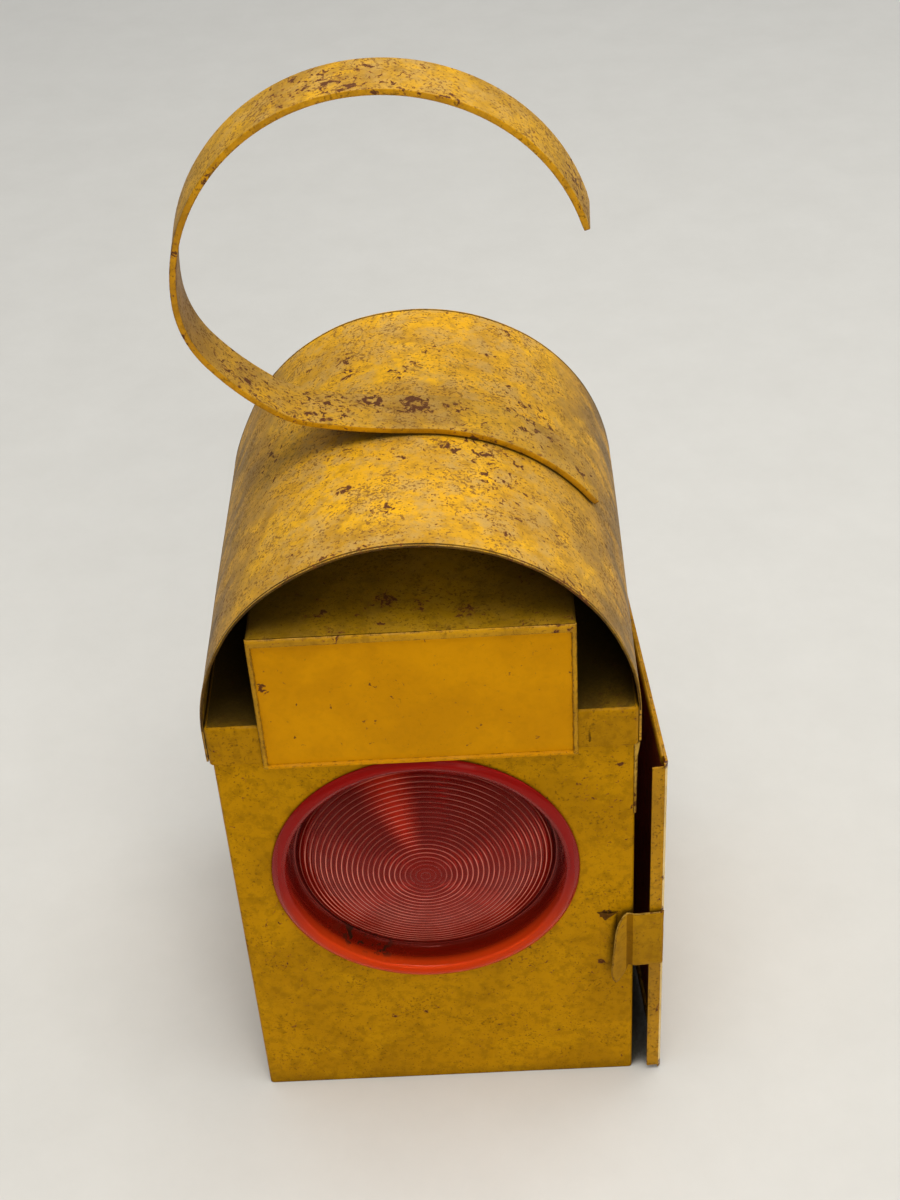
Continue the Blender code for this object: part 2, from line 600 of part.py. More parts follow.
def fount_clip(name, angle):
    """Spring clip spot-welded to the base pan: foot, riser that leans on the tank, flared tip."""
    face = TANK_RADIUS + 1.2 * MM + GAP + 0.5 * MM
    path = [(face + 12 * MM, SHEET + GAP + 0.5 * MM), (face + 0.6 * MM, SHEET + GAP + 0.5 * MM),
            (face + 0.2 * MM, 6.0 * MM), (face + 1.6 * MM, 15.0 * MM), (face + 4.0 * MM, 22.0 * MM)]
    clip = flat_shape(name, [ribbon(path, 0.8 * MM)], 14.0 * MM, (0, 0, 0), "zinc_steel", upright=True)
    clip.matrix_world = Matrix.Rotation(angle, 4, "Z") @ clip.matrix_world


# ---------------------------------------------------------------- burner

def burner():
    low = TANK_TOP + 5 * MM + GAP
    collar = [(20.0 * MM, low + 5 * MM), (20.0 * MM, TANK_TOP + 1 * MM), (17.4 * MM, TANK_TOP + 1 * MM),
              (17.4 * MM, low), (9.0 * MM, low), (9.0 * MM, low + 1.2 * MM), (17.0 * MM, low + 1.2 * MM),
              (17.0 * MM, low + 5 * MM)]
    turned("burner_collar", collar, (0, 0, 0), (0, 0, 1), "burner_brass", ring=True)
    base = low + 1.2 * MM + GAP
    cone = [(7.5 * MM, 117 * MM), (15.0 * MM, 108 * MM), (16.6 * MM, 104 * MM), (16.6 * MM, base),
            (15.8 * MM, base), (15.8 * MM, 103.8 * MM), (14.3 * MM, 107.6 * MM), (7.0 * MM, 116.2 * MM)]
    gallery = turned("burner_cone", cone, (0, 0, 0), (0, 0, 1), "burner_brass", ring=True)
    cut(gallery, rod("winder_gland", 1.9 * MM, (10 * MM, WINDER_Y, WINDER_Z), (24 * MM, WINDER_Y, WINDER_Z),
                     sides=16))


def wick_and_tube():
    outer = rectangle((-5.4 * MM, 5.4 * MM), (-2.0 * MM, 2.0 * MM))
    inner = rectangle((-4.9 * MM, 4.9 * MM), (-1.5 * MM, 1.5 * MM))
    low, high = 70.0 * MM, 116.0 * MM
    tube = flat_shape("wick_tube", [outer, inner], high - low, (0, 0, (low + high) / 2), "burner_brass")
    window_z = (WINDER_Z - 4.5 * MM, WINDER_Z + 4.5 * MM)
    cut(tube, box("wick_window", (-4.4 * MM, 4.4 * MM), (-3 * MM, -1 * MM), window_z))
    box("wick", (-4.5 * MM, 4.5 * MM), (-1.1 * MM, 1.1 * MM), (12 * MM, 118.5 * MM), "wick_cotton")


def winder():
    """Spindle with its toothed wheel on the wick, and the knob outside the burner on the door side."""
    ends = ((-7 * MM, WINDER_Y, WINDER_Z), (37 * MM, WINDER_Y, WINDER_Z))
    rod("winder_shaft", 1.2 * MM, *ends, "burner_brass", sides=12)
    teeth = 10
    outline = []
    for i in range(2 * teeth):
        radius = 3.6 * MM if i % 2 else 2.7 * MM
        outline.append((radius * cos(pi * i / teeth), radius * sin(pi * i / teeth)))
    wheel = flat_shape("winder_wheel", [outline, circle(1.5 * MM, 12)], 6.0 * MM, (0, 0, 0), "burner_brass")
    wheel.matrix_world = Matrix.Translation((0, WINDER_Y, WINDER_Z)) @ Matrix.Rotation(pi / 2, 4, "Y")
    knob = [(8.0 * MM, 4.0 * MM), (8.0 * MM, 0.5 * MM), (7.4 * MM, 0.0), (1.5 * MM, 0.0),
            (1.5 * MM, 4.5 * MM), (7.4 * MM, 4.5 * MM)]
    turned("winder_knob", knob, (32 * MM, WINDER_Y, WINDER_Z), (1, 0, 0), "burner_brass", steps=24,
           ring=True)


clear_scene()
PARTS = new_collection("road_hazard_lamp")
CUTTERS = new_collection("cutters")
MATERIALS = {name: make_material(name) for name in FINISHES}
DOOR_AXIS = bpy.data.objects.new("door_axis", None)
PARTS.objects.link(DOOR_AXIS)
DOOR_AXIS.location = (HINGE_X, HINGE_Y, 0.0)
DOOR_AXIS.rotation_euler = (0.0, 0.0, DOOR_REST)

lamp_body()
base_pan()
top_cap()
vent_box()
vent_baffle()
roof_hood()
handle_strap()
front_lens()
lens_fixings()
door_panel()
latch_spring()
hinge()
hinge_rivets()
fount_tank()
fount_bail()
filler_cap()
fount_clip("fount_clip_left", pi)
fount_clip("fount_clip_front", -pi / 2)
fount_clip("fount_clip_rear", pi / 2)
burner()
wick_and_tube()
winder()
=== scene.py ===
import json
from functools import reduce
from math import atan2, cos, pi, radians, sin, sqrt

import bmesh
import bpy
from mathutils import Matrix, Vector, noise


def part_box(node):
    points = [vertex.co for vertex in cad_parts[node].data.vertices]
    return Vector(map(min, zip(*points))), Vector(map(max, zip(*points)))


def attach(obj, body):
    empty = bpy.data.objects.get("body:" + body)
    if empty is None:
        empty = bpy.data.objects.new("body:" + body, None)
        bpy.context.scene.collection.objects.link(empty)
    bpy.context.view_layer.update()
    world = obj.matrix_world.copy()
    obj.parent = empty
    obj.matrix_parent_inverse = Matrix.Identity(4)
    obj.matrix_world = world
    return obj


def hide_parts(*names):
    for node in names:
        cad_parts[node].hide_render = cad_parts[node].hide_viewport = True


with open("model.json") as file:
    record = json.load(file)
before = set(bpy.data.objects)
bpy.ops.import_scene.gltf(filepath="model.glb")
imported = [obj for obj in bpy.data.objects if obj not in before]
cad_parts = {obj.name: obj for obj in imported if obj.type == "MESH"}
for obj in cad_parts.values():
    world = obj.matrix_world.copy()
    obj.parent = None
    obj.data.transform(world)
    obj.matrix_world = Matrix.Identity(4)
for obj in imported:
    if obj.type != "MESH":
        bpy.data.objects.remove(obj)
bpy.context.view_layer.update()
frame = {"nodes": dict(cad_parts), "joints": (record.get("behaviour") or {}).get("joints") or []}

MM = 0.001

# Places taken from the frame. The lens faces -y, and the door is on the +x side.
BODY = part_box("lamp_body")[1]                 # half width, half depth and height of the body
BAND_LOW, BAND_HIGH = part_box("top_cap")
VENT_LOW, VENT_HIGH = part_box("vent_box")
HOOD_LOW, HOOD_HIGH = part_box("roof_hood")
STRAP_LOW, STRAP_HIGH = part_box("handle_strap")
LENS_LOW, LENS_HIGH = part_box("front_lens")
DOOR_LOW, DOOR_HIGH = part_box("door_panel")
LENS_CENTRE = (LENS_LOW + LENS_HIGH) / 2
LENS_RIM = (LENS_HIGH.x - LENS_LOW.x) / 2
FRONT_Y = -BODY.y
LENS_PLACE = (LENS_CENTRE.x, FRONT_Y, LENS_CENTRE.z)
JOINTS = {joint["name"]: joint for joint in frame["joints"]}
HINGE = Vector(JOINTS["door_hinge"]["pos_m"])
DOOR_REST = radians(-JOINTS["door_hinge"]["range_deg"][0])
DOOR_TURN = Matrix.Translation(HINGE) @ Matrix.Rotation(DOOR_REST, 4, "Z") @ Matrix.Translation(-HINGE)

# Sizes that the frame doesn't give. The door and latch are built closed, then turned to rest.
SHEET = 1.0 * MM
HOOD_RADIUS = HOOD_HIGH.x
HOOD_AXIS_Z = HOOD_HIGH.z - HOOD_RADIUS
STRAP_THICK = 2.6 * MM
STRAP_WIDE = STRAP_HIGH.y - STRAP_LOW.y
DOOR_FACE_X = HINGE.x - 2.6 * MM + SHEET / 2  # the closed door's outer face
DOOR_FACE_Y = -89.7 * MM - SHEET / 2
DOOR_REAR_Y = HINGE.y - 3.5 * MM
DOOR_LIP = 6.5 * MM
LATCH_Z = (76.2 * MM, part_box("latch_spring")[1].z)
CATCH_Z = (74.5 * MM, 106.5 * MM)
VENT_SHIFT = Matrix.Translation((-1.2 * MM, 0, 0))
BENDS = (0.4, 0.8, 1.2)                       # angles along a folded edge, between its two flats

# The lens's dome, and the fine steps moulded in it
DOME_RADIUS = 54 * MM
RING_COUNT = 24
RING_PITCH = 2.25 * MM
RING_FIRST = DOME_RADIUS - (RING_COUNT - 1) * RING_PITCH


# ---- mesh helpers

def smoothstep(low, high, value):
    t = min(max((value - low) / (high - low), 0.0), 1.0)
    return t * t * (3.0 - 2.0 * t)


def spread(low, high, step):
    """Evenly spaced values from low to high, about step apart."""
    count = max(1, round(abs(high - low) / step))
    return [low + (high - low) * i / count for i in range(count + 1)]


def ripple(point, size, shift=0.0):
    """Smooth noise between about -1 and 1, with features of the given size in mm."""
    return noise.noise(Vector(point) / (size * MM) + Vector((shift, 2.3 * shift, 7.1)))


def profile(base, *points):
    """Points given in mm as (radius, height above base), in metres."""
    return [(radius * MM, base + height * MM) for radius, height in points]


def link(name, data):
    obj = bpy.data.objects.new(name, data)
    bpy.context.scene.collection.objects.link(obj)
    return obj


def surface(name, rows, closed=False, flip=False, caps=False):
    """Quads through rows of points. closed joins each row's ends; caps adds a face to the end rows."""
    width = len(rows[0])
    faces = []
    for below in range(0, (len(rows) - 1) * width, width):
        above = below + width
        for j in range(width if closed else width - 1):
            k = (j + 1) % width
            faces.append((below + j, below + k, above + k, above + j))
    if caps:
        faces.append(tuple(range(width))[::-1])
        faces.append(tuple(range((len(rows) - 1) * width, len(rows) * width)))
    if flip:
        faces = [face[::-1] for face in faces]
    mesh = bpy.data.meshes.new(name)
    mesh.from_pydata([tuple(point) for row in rows for point in row], [], faces)
    mesh.validate()
    return link(name, mesh)


def modify(obj, kind, **settings):
    """Applies a modifier to the object's mesh."""
    modifier = obj.modifiers.new(kind.lower(), kind)
    for name, value in settings.items():
        setattr(modifier, name, value)
    graph = bpy.context.evaluated_depsgraph_get()
    graph.update()
    mesh = bpy.data.meshes.new_from_object(obj.evaluated_get(graph))
    obj.modifiers.clear()
    old = obj.data
    obj.data = mesh
    bpy.data.meshes.remove(old)


def thicken(obj, thickness, *finishes):
    """Makes a sheet solid, growing inward. Of two finishes, the second goes inside."""
    for finish in finishes:
        obj.data.materials.append(finish)
    modify(obj, "SOLIDIFY", thickness=thickness, offset=-1.0, use_even_offset=True,
           material_offset=1 if finishes else 0)


def soften(obj, width, segments=2):
    """Rounds the sharp edges."""
    modify(obj, "BEVEL", width=width, segments=segments, limit_method="ANGLE", angle_limit=radians(35.0))


def boolean(obj, other, operation="DIFFERENCE"):
    modify(obj, "BOOLEAN", operation=operation, object=other, solver="EXACT")
    bpy.data.objects.remove(other)


def box_mesh(name, low, high):
    bm = bmesh.new()
    bmesh.ops.create_cube(bm, size=1.0)
    bmesh.ops.scale(bm, vec=Vector(high) - Vector(low), verts=bm.verts)
    bmesh.ops.translate(bm, vec=(Vector(low) + Vector(high)) / 2, verts=bm.verts)
    mesh = bpy.data.meshes.new(name)
    bm.to_mesh(mesh)
    bm.free()
    return link(name, mesh)


def turned(name, outline, at, toward, steps=96, ring=False):
    """An outline of (radius, height) pairs, running down its outer side, turned about an axis."""
    bm = bmesh.new()
    rings = []
    for radius, height in outline:
        angles = [2 * pi * i / steps for i in range(steps)] if radius > 1e-7 else [0.0]
        rings.append([bm.verts.new((radius * cos(a), radius * sin(a), height)) for a in angles])
    below = rings[1:] + rings[:1] if ring else rings[1:]
    for upper, lower in zip(rings, below):
        for i in range(steps):
            j = (i + 1) % steps
            corners = [upper[i % len(upper)], lower[i % len(lower)],
                       lower[j % len(lower)], upper[j % len(upper)]]
            unique = list(dict.fromkeys(corners))
            if len(unique) > 2:
                bm.faces.new(unique)
    mesh = bpy.data.meshes.new(name)
    bm.to_mesh(mesh)
    bm.free()
    turn = Vector(toward).to_track_quat("Z", "Y").to_matrix().to_4x4()
    mesh.transform(Matrix.Translation(at) @ turn)
    return link(name, mesh)


def rod(radius, half_length, at, toward, steps):
    """A plain cylinder to cut with, centred on a point."""
    outline = [(0, half_length), (radius, half_length), (radius, -half_length), (0, -half_length)]
    return turned("rod", outline, at, toward, steps)


def rounded_rectangle(half_x, half_y, radius, z, corner_steps=6, gap=5 * MM):
    """A ring of points, anticlockwise from above, about gap apart between the corners."""
    points = []
    corners = [(1, 1), (-1, 1), (-1, -1), (1, -1)]
    for k, (sign_x, sign_y) in enumerate(corners):
        x, y = sign_x * (half_x - radius), sign_y * (half_y - radius)
        for i in range(corner_steps + 1):
            a = pi / 2 * (k + i / corner_steps)
            points.append(Vector((x + radius * cos(a), y + radius * sin(a), z)))
        next_x, next_y = corners[(k + 1) % 4]
        start = points[-1]
        end = Vector((next_x * (half_x - radius) + radius * cos(a),
                      next_y * (half_y - radius) + radius * sin(a), z))
        between = [start.lerp(end, t) for t in spread(0, 1, gap / (end - start).length)]
        points.extend(between[1:-1])
    return points


def put(obj, body, finishes, slot, *nodes, sharp=30.0):
    """Shades a piece, gives it its materials, and rides it on its body in place of its CAD nodes."""
    obj.data.shade_smooth()
    obj.data.set_sharp_from_angle(angle=radians(sharp))
    sides = [face.material_index for face in obj.data.polygons]
    obj.data.materials.clear()
    for finish in finishes:
        obj.data.materials.append(finish)
    obj.data.polygons.foreach_set("material_index", [min(side, len(finishes) - 1) for side in sides])
    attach(obj, body)
    if nodes:
        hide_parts(*nodes)


# ---- materials

class Nodes:
    """A short way to wire a node tree. Values may be numbers, colours or other nodes' sockets."""

    def __init__(self, name):
        self.material = bpy.data.materials.new(name)
        self.material.use_nodes = True
        self.tree = self.material.node_tree
        self.shader = self.tree.nodes["Principled BSDF"]
        coordinates = self.tree.nodes.new("ShaderNodeTexCoord")
        self.place = coordinates.outputs["Object"]
        self.normal = coordinates.outputs["Normal"]

    def wire(self, socket, value):
        if isinstance(value, bpy.types.NodeSocket):
            self.tree.links.new(value, socket)
        elif hasattr(socket.default_value, "__len__") and len(socket.default_value) == 4 and len(value) == 3:
            socket.default_value = (*value, 1.0)
        else:
            socket.default_value = value

    def node(self, kind, inputs, **settings):
        """A new node with its settings, and inputs wired by name or place."""
        node = self.tree.nodes.new("ShaderNode" + kind)
        for name, value in settings.items():
            setattr(node, name, value)
        for key, value in inputs.items():
            self.wire(node.inputs[key], value)
        return node

    def set(self, **inputs):
        for name, value in inputs.items():
            self.wire(self.shader.inputs[name.replace("_", " ")], value)

    def noise(self, size, detail=3.0, roughness=0.55, stretch=(1, 1, 1), shift=0.0, warp=0.0):
        """Noise from 0 to 1, with features of the given size in mm."""
        place = self.node("Mapping", {"Vector": self.place, "Scale": stretch,
                                      "Location": (shift, shift * 1.7, shift * 0.6)})
        texture = self.node("TexNoise", {"Vector": place.outputs[0], "Scale": 1.0 / (size * MM),
                                         "Detail": detail, "Roughness": roughness, "Distortion": warp})
        return texture.outputs["Fac"]

    def math(self, operation, a, b=0.0, c=0.0, clamp=False):
        return self.node("Math", {0: a, 1: b, 2: c}, operation=operation, use_clamp=clamp).outputs[0]

    def minus(self, a, b):
        return self.math("SUBTRACT", a, b)

    def plus(self, a, b, clamp=False):
        return self.math("ADD", a, b, clamp=clamp)

    def step(self, value, low, high, out_low=0.0, out_high=1.0):
        """Smooth ramp from low to high."""
        inputs = dict(enumerate((value, low, high, out_low, out_high)))
        return self.node("MapRange", inputs, interpolation_type="SMOOTHSTEP").outputs[0]

    def mix(self, factor, a, b):
        return self.node("Mix", {"Factor": factor, 6: a, 7: b}, data_type="RGBA").outputs[2]

    def product(self, *factors):
        return reduce(lambda a, b: self.math("MULTIPLY", a, b), factors)

    def either(self, *factors):
        return reduce(lambda a, b: self.math("MAXIMUM", a, b), factors)

    def axis(self, source, index):
        return self.node("SeparateXYZ", {0: source}).outputs[index]

    def near(self, point, radius):
        """1 at a point, falling to 0 at the radius."""
        away = self.node("VectorMath", {0: self.place, 1: point}, operation="DISTANCE")
        return self.step(away.outputs["Value"], radius, 0.25 * radius)

    def edges(self, radius, threshold=0.06):
        """1 on convex and concave edges, from how far a rounded normal leans away from the real one."""
        bevel = self.node("Bevel", {"Radius": radius}, samples=4)
        geometry = self.node("NewGeometry", {})
        dot = self.node("VectorMath", {0: bevel.outputs[0], 1: geometry.outputs["Normal"]},
                        operation="DOT_PRODUCT")
        return self.step(self.minus(1.0, dot.outputs["Value"]), 0.0, threshold)

    def hollows(self, distance, samples=4):
        """1 in tight corners and under overhangs, 0 in the open."""
        shade = self.node("AmbientOcclusion", {"Distance": distance}, samples=samples)
        return self.minus(1.0, shade.outputs["AO"])

    def bump(self, height, distance, strength=1.0, after=None):
        inputs = {"Height": height, "Distance": distance, "Strength": strength}
        if after is not None:
            inputs["Normal"] = after
        return self.node("Bump", inputs).outputs[0]


RUST_DARK = (0.115, 0.039, 0.01)
RUST_LIGHT = (0.3, 0.105, 0.012)
# dark grime, which also serves as painted shade in corners and under overhangs
GRIME_AND_SHADE = (0.034, 0.021, 0.003)
DUST = (0.5, 0.31, 0.085)
STREAK = (0.17, 0.095, 0.022)
CHIP = (0.05, 0.022, 0.008)
SPECK = (0.13, 0.058, 0.003)


def paint(name, base, deep, bright=None, speck=SPECK, speckle=0.6, rust=0.3, dust=0.1, grime_and_shade=0.8,
          wear=1.0, gloss=0.42, shine=0.1, streaks=0.0, mottle=0.55, reach=16, marks=()):
    """Old yellow enamel on sheet steel: mottled and speckled, with rust, dust on top, worn edges, and dark
    grime with painted shade in corners and under overhangs.
    reach is how far that grime and painted shade spread out of a corner. marks are (x, y, z, radius,
    strength) patches of extra rust. Both are in mm."""
    n = Nodes(name)
    up = n.step(n.axis(n.normal, 2), 0.25, 0.95)
    # mottled colour, with brighter patches and fine dark grain
    patches = n.noise(42, 5.0, 0.62, shift=1.3, warp=0.4)
    colour = n.mix(n.step(patches, 0.36, 0.62), deep, base)
    if bright:
        fresh = n.step(n.noise(30, 5.0, 0.65, shift=11.0, warp=0.6), 0.5, 0.68)
        colour = n.mix(n.product(fresh, 0.8), colour, bright)
    fine = n.step(n.noise(4.5, 5.0, 0.7, shift=4.1), 0.44, 0.66)
    colour = n.mix(n.product(fine, mottle), colour, tuple(0.62 * c for c in deep))
    # dust lying on upward faces, broken up by rubbing
    rubbed = n.step(n.noise(11, 6.0, 0.75, shift=5.2), 0.42, 0.66)
    film = n.product(up, rubbed, dust)
    colour = n.mix(film, colour, DUST)
    # fine brown speckle, crowding together in places
    crowd = n.noise(17, 5.0, 0.65, shift=2.9)
    level = n.math("MULTIPLY_ADD", crowd, -0.42, 0.885 - 0.09 * speckle)
    grains = n.minus(n.noise(1.3, 3.0, 0.6, shift=7.7), level)
    specks = n.product(n.step(grains, 0.0, 0.06), 0.3 + 0.4 * speckle)
    colour = n.mix(specks, colour, speck)
    # rust: irregular blotches that gather in clusters and at the marked patches
    gather = n.product(n.step(n.noise(34, 3.0, 0.6, shift=9.4), 0.48, 0.66), rust)
    for x, y, z, radius, strength in marks:
        patch = n.near((x * MM, y * MM, z * MM), radius * MM)
        gather = n.either(gather, n.product(patch, strength))
    level = n.math("MULTIPLY_ADD", gather, -0.19, 0.685)
    amount = n.minus(n.noise(3.0, 5.0, 0.62, shift=6.1, warp=0.5), level)
    colour = n.mix(n.product(n.step(amount, -0.035, 0.015), 0.75), colour, RUST_LIGHT)
    spot = n.step(amount, 0.0, 0.035)
    colour = n.mix(spot, colour, RUST_DARK)
    # brown streaks running down the sides, and dark grime with painted shade in corners and under overhangs
    run = n.step(n.noise(12, 5.0, 0.65, stretch=(1, 1, 0.16), shift=3.3), 0.36, 0.62)
    colour = n.mix(n.product(run, n.minus(1.0, up), streaks), colour, STREAK)
    corner_shade_and_dirt = n.product(n.step(n.hollows(reach * MM), 0.22, 0.8), grime_and_shade)
    colour = n.mix(corner_shade_and_dirt, colour, GRIME_AND_SHADE)
    # edges chipped to dark metal
    ragged = n.step(n.noise(2.4, 4.0, 0.65, shift=6.6), 0.62 - 0.2 * wear, 0.66)
    chips = n.product(n.edges(0.9 * MM), ragged, wear)
    colour = n.mix(chips, colour, CHIP)
    # gloss, duller where the paint is spoiled, and the pits that rust, chips and specks leave
    rough = n.plus(gloss, n.product(n.noise(9, 4.0, 0.6, shift=8.8), 0.2))
    rough = n.plus(rough, n.product(n.either(film, spot, corner_shade_and_dirt, specks), 0.3), clamp=True)
    peel = n.bump(n.noise(2.2, 4.0, 0.55, shift=0.4), 0.14 * MM, 0.6)
    spoiled = n.either(spot, chips, n.product(specks, 0.4))
    n.set(Base_Color=colour, Roughness=rough, Metallic=0.0, Specular_IOR_Level=shine,
          Normal=n.bump(n.minus(1.0, spoiled), 0.16 * MM, 0.8, after=peel))
    return n.material


def bare_metal(name, colour, rough, stain, tone=RUST_LIGHT):
    """Dull plated or brass metal with tarnish patches and fine scratches."""
    n = Nodes(name)
    patches = n.step(n.noise(9, 5.0, 0.65, shift=2.2), 0.45, 0.72)
    fine = n.noise(1.4, 3.0, 0.6, shift=5.0)
    tarnish = n.product(patches, stain)
    base = n.mix(tarnish, colour, tone)
    base = n.mix(n.product(n.step(fine, 0.5, 0.8), 0.4), base, tuple(0.45 * c for c in colour))
    scratches = n.noise(0.5, 2.0, stretch=(1, 1, 0.05), shift=1.0)
    n.set(Base_Color=base, Metallic=n.step(tarnish, 1.0, 0.0, 0.15, 1.0),
          Roughness=n.plus(rough, n.product(patches, 0.3)),
          Normal=n.bump(n.plus(fine, n.product(scratches, 0.5)), 0.05 * MM, 0.5))
    return n.material


LENS_SHADE = (0.3, 0.005, 0.001)             # where the dark vent box is mirrored
# painted bright streak inside the painted reflection of the vent box
LENS_PAINTED_STREAK = (0.9, 0.045, 0.006)
# painted highlight on the edge of each ring step
LENS_RING_HIGHLIGHT = (0.98, 0.36, 0.25)
# painted shade on the groove's wall
LENS_GROOVE_SHADE = (0.22, 0.005, 0.002)
LENS_DIRT = (0.02, 0.008, 0.004)
LENS_TINT = (1.0, 0.3, 0.26)


def lens_red(name, upper, lower, passing, rings=0.0):
    """Clear red moulding with painted light: a paler, lit colour low down and a shaded one at the top, the
    dark vent box as a painted reflection in its top with a painted bright streak, painted highlights on the
    ring edges, painted shade on the groove wall, and dirt low in the groove. rings is how strongly the
    dome's painted reflection, streak and ring highlights show."""
    n = Nodes(name)
    height = n.axis(n.place, 2)
    across = n.minus(n.axis(n.place, 0), LENS_CENTRE.x)
    above = n.minus(height, LENS_CENTRE.z)
    radius = n.math("SQRT", n.plus(n.product(across, across), n.product(above, above)))
    # painted light: the lower colour, used low down, is the paler lit one, and the upper colour at the top
    # the darker shaded one
    colour = n.mix(n.step(height, LENS_CENTRE.z + 5 * MM, LENS_CENTRE.z - 50 * MM), upper, lower)
    # painted reflection of the dark vent box, as a sector of the dome, and a painted bright streak inside it
    steep = n.math("DIVIDE", above, n.plus(radius, 1 * MM))
    lean = n.plus(n.math("DIVIDE", across, n.plus(radius, 1 * MM)), 0.28)
    painted_streak = n.step(n.math("ABSOLUTE", lean), 0.3, 0.0)
    painted_streak = n.product(painted_streak, n.step(steep, 0.3, 0.8), n.step(radius, 6 * MM, 30 * MM), rings)
    shaded = n.product(n.step(steep, 0.1, 0.62), n.step(radius, 8 * MM, 24 * MM),
                       n.minus(1.0, painted_streak), rings)
    colour = n.mix(n.product(shaded, 0.75), colour, LENS_SHADE)
    colour = n.mix(n.product(painted_streak, 0.55), colour, LENS_PAINTED_STREAK)
    # painted highlight: a pale line on each step, fainter at the centre and in the shaded sector
    phase = n.math("DIVIDE", n.minus(radius, RING_FIRST - 0.5 * RING_PITCH), RING_PITCH)
    beside = n.math("ABSOLUTE", n.minus(n.math("FRACT", phase), 0.39))
    ring_highlight = n.product(n.step(beside, 0.15, 0.05), n.step(radius, 5 * MM, 16 * MM, 0.25, 1.0),
                     n.step(shaded, 0.0, 1.0, 1.0, 0.45),
                     n.step(n.noise(20, 4.0, 0.6, shift=8.0), 0.3, 0.62, 0.55, 1.0), rings)
    colour = n.mix(ring_highlight, colour, LENS_RING_HIGHLIGHT)
    # painted shade on the groove's deep wall, and crumbs of dirt at its lower left
    deep = n.product(n.step(radius, DOME_RADIUS - 1.0 * MM, DOME_RADIUS + 0.6 * MM),
                     n.step(n.axis(n.place, 1), FRONT_Y + 0.5 * MM, FRONT_Y + 4.5 * MM))
    colour = n.mix(n.product(deep, 0.9), colour, LENS_GROOVE_SHADE)
    low_left = n.near((LENS_CENTRE.x - 30 * MM, FRONT_Y + 6 * MM, LENS_CENTRE.z - 50 * MM), 26 * MM)
    crumbs = n.step(n.noise(3.6, 4.0, 0.6, shift=2.0), 0.52, 0.57)
    dirt = n.product(low_left, n.step(radius, DOME_RADIUS - 1 * MM, DOME_RADIUS), crumbs,
                     n.step(radius, 59.6 * MM, 58.4 * MM))
    colour = n.mix(dirt, colour, LENS_DIRT)
    scuff = n.step(n.noise(16, 5.0, 0.7, shift=3.0), 0.45, 0.75)
    blocked = n.product(n.either(dirt, ring_highlight, n.product(painted_streak, 0.3)), 0.7)
    n.set(Base_Color=colour, Roughness=n.plus(0.07, n.product(n.either(scuff, dirt), 0.2)), IOR=1.4,
          Normal=n.bump(n.noise(2.6, 2.0, shift=1.0), 0.03 * MM, 0.3),
          Transmission_Weight=n.minus(passing, blocked), Specular_IOR_Level=0.32,
          Specular_Tint=LENS_TINT)
    return n.material


def plain(name, colour, rough, grain, depth):
    """Rubber or cotton: one colour, broken up by a grain of this size and depth in mm."""
    n = Nodes(name)
    speck = n.noise(grain, 4.0, 0.65)
    n.set(Base_Color=n.mix(n.step(speck, 0.3, 0.75), colour, tuple(0.6 * c for c in colour)),
          Roughness=rough, Normal=n.bump(speck, depth * MM, 0.6))
    return n.material


# Rust patches: x, y, z and radius in mm, and strength
HOOD_MARKS = (
    (-28, 56, 303, 7, 0.9), (-26, 44, 304, 7, 1.0), (17, -21, 306, 9, 0.9), (31, -22, 302, 8, 0.9),
    (43, -20, 296, 6, 0.9), (-25, -44, 304, 7, 1.0), (-9, -62, 307, 7, 0.8), (-55, -8, 288, 7, 0.8),
    (57, -57, 286, 5, 0.9), (34, 55, 300, 9, 0.5), (16, -55, 306, 14, 0.45))
STRAP_MARKS = (
    (-14, 8, 310, 12, 1.0), (3, 5, 311, 13, 1.1), (20, 4, 308, 8, 0.9), (51, -8, 295, 13, 0.6),
    (69, -6, 278, 11, 0.6), (-60, -4, 335, 30, 0.6), (-20, 0, 452, 45, 0.55))
# The first two darken the catch's top and the lower end of its cut with rust-coloured blotches.
BODY_MARKS = ((73, -89, 106, 5, 1.15), (71, -89, 75, 3, 1.15), (79, -89, 194, 3, 1.1))
VENT_MARKS = (
    (-61, -91, 245, 4, 0.8), (-60, -91, 228, 3, 0.9), (-20, -91, 224, 5, 0.7), (28, -91, 258, 6, 0.4))
VENT_TOP_MARKS = (
    (-36, -76, 268, 8, 0.85), (-11, -70, 268, 8, 0.9), (4, -74, 268, 7, 0.8), (22, -79, 268, 8, 0.8),
    (-12, -84, 268, 4, 0.9), (44, -60, 268, 7, 0.6))
DOOR_MARKS = ((92, -88, 193, 3, 1.2), (90, -90, 3, 4, 1.2))
DOOR_FOLD_MARKS = ((97, -89, 193, 4, 1.2), (97, -89, 3, 4, 1.2))

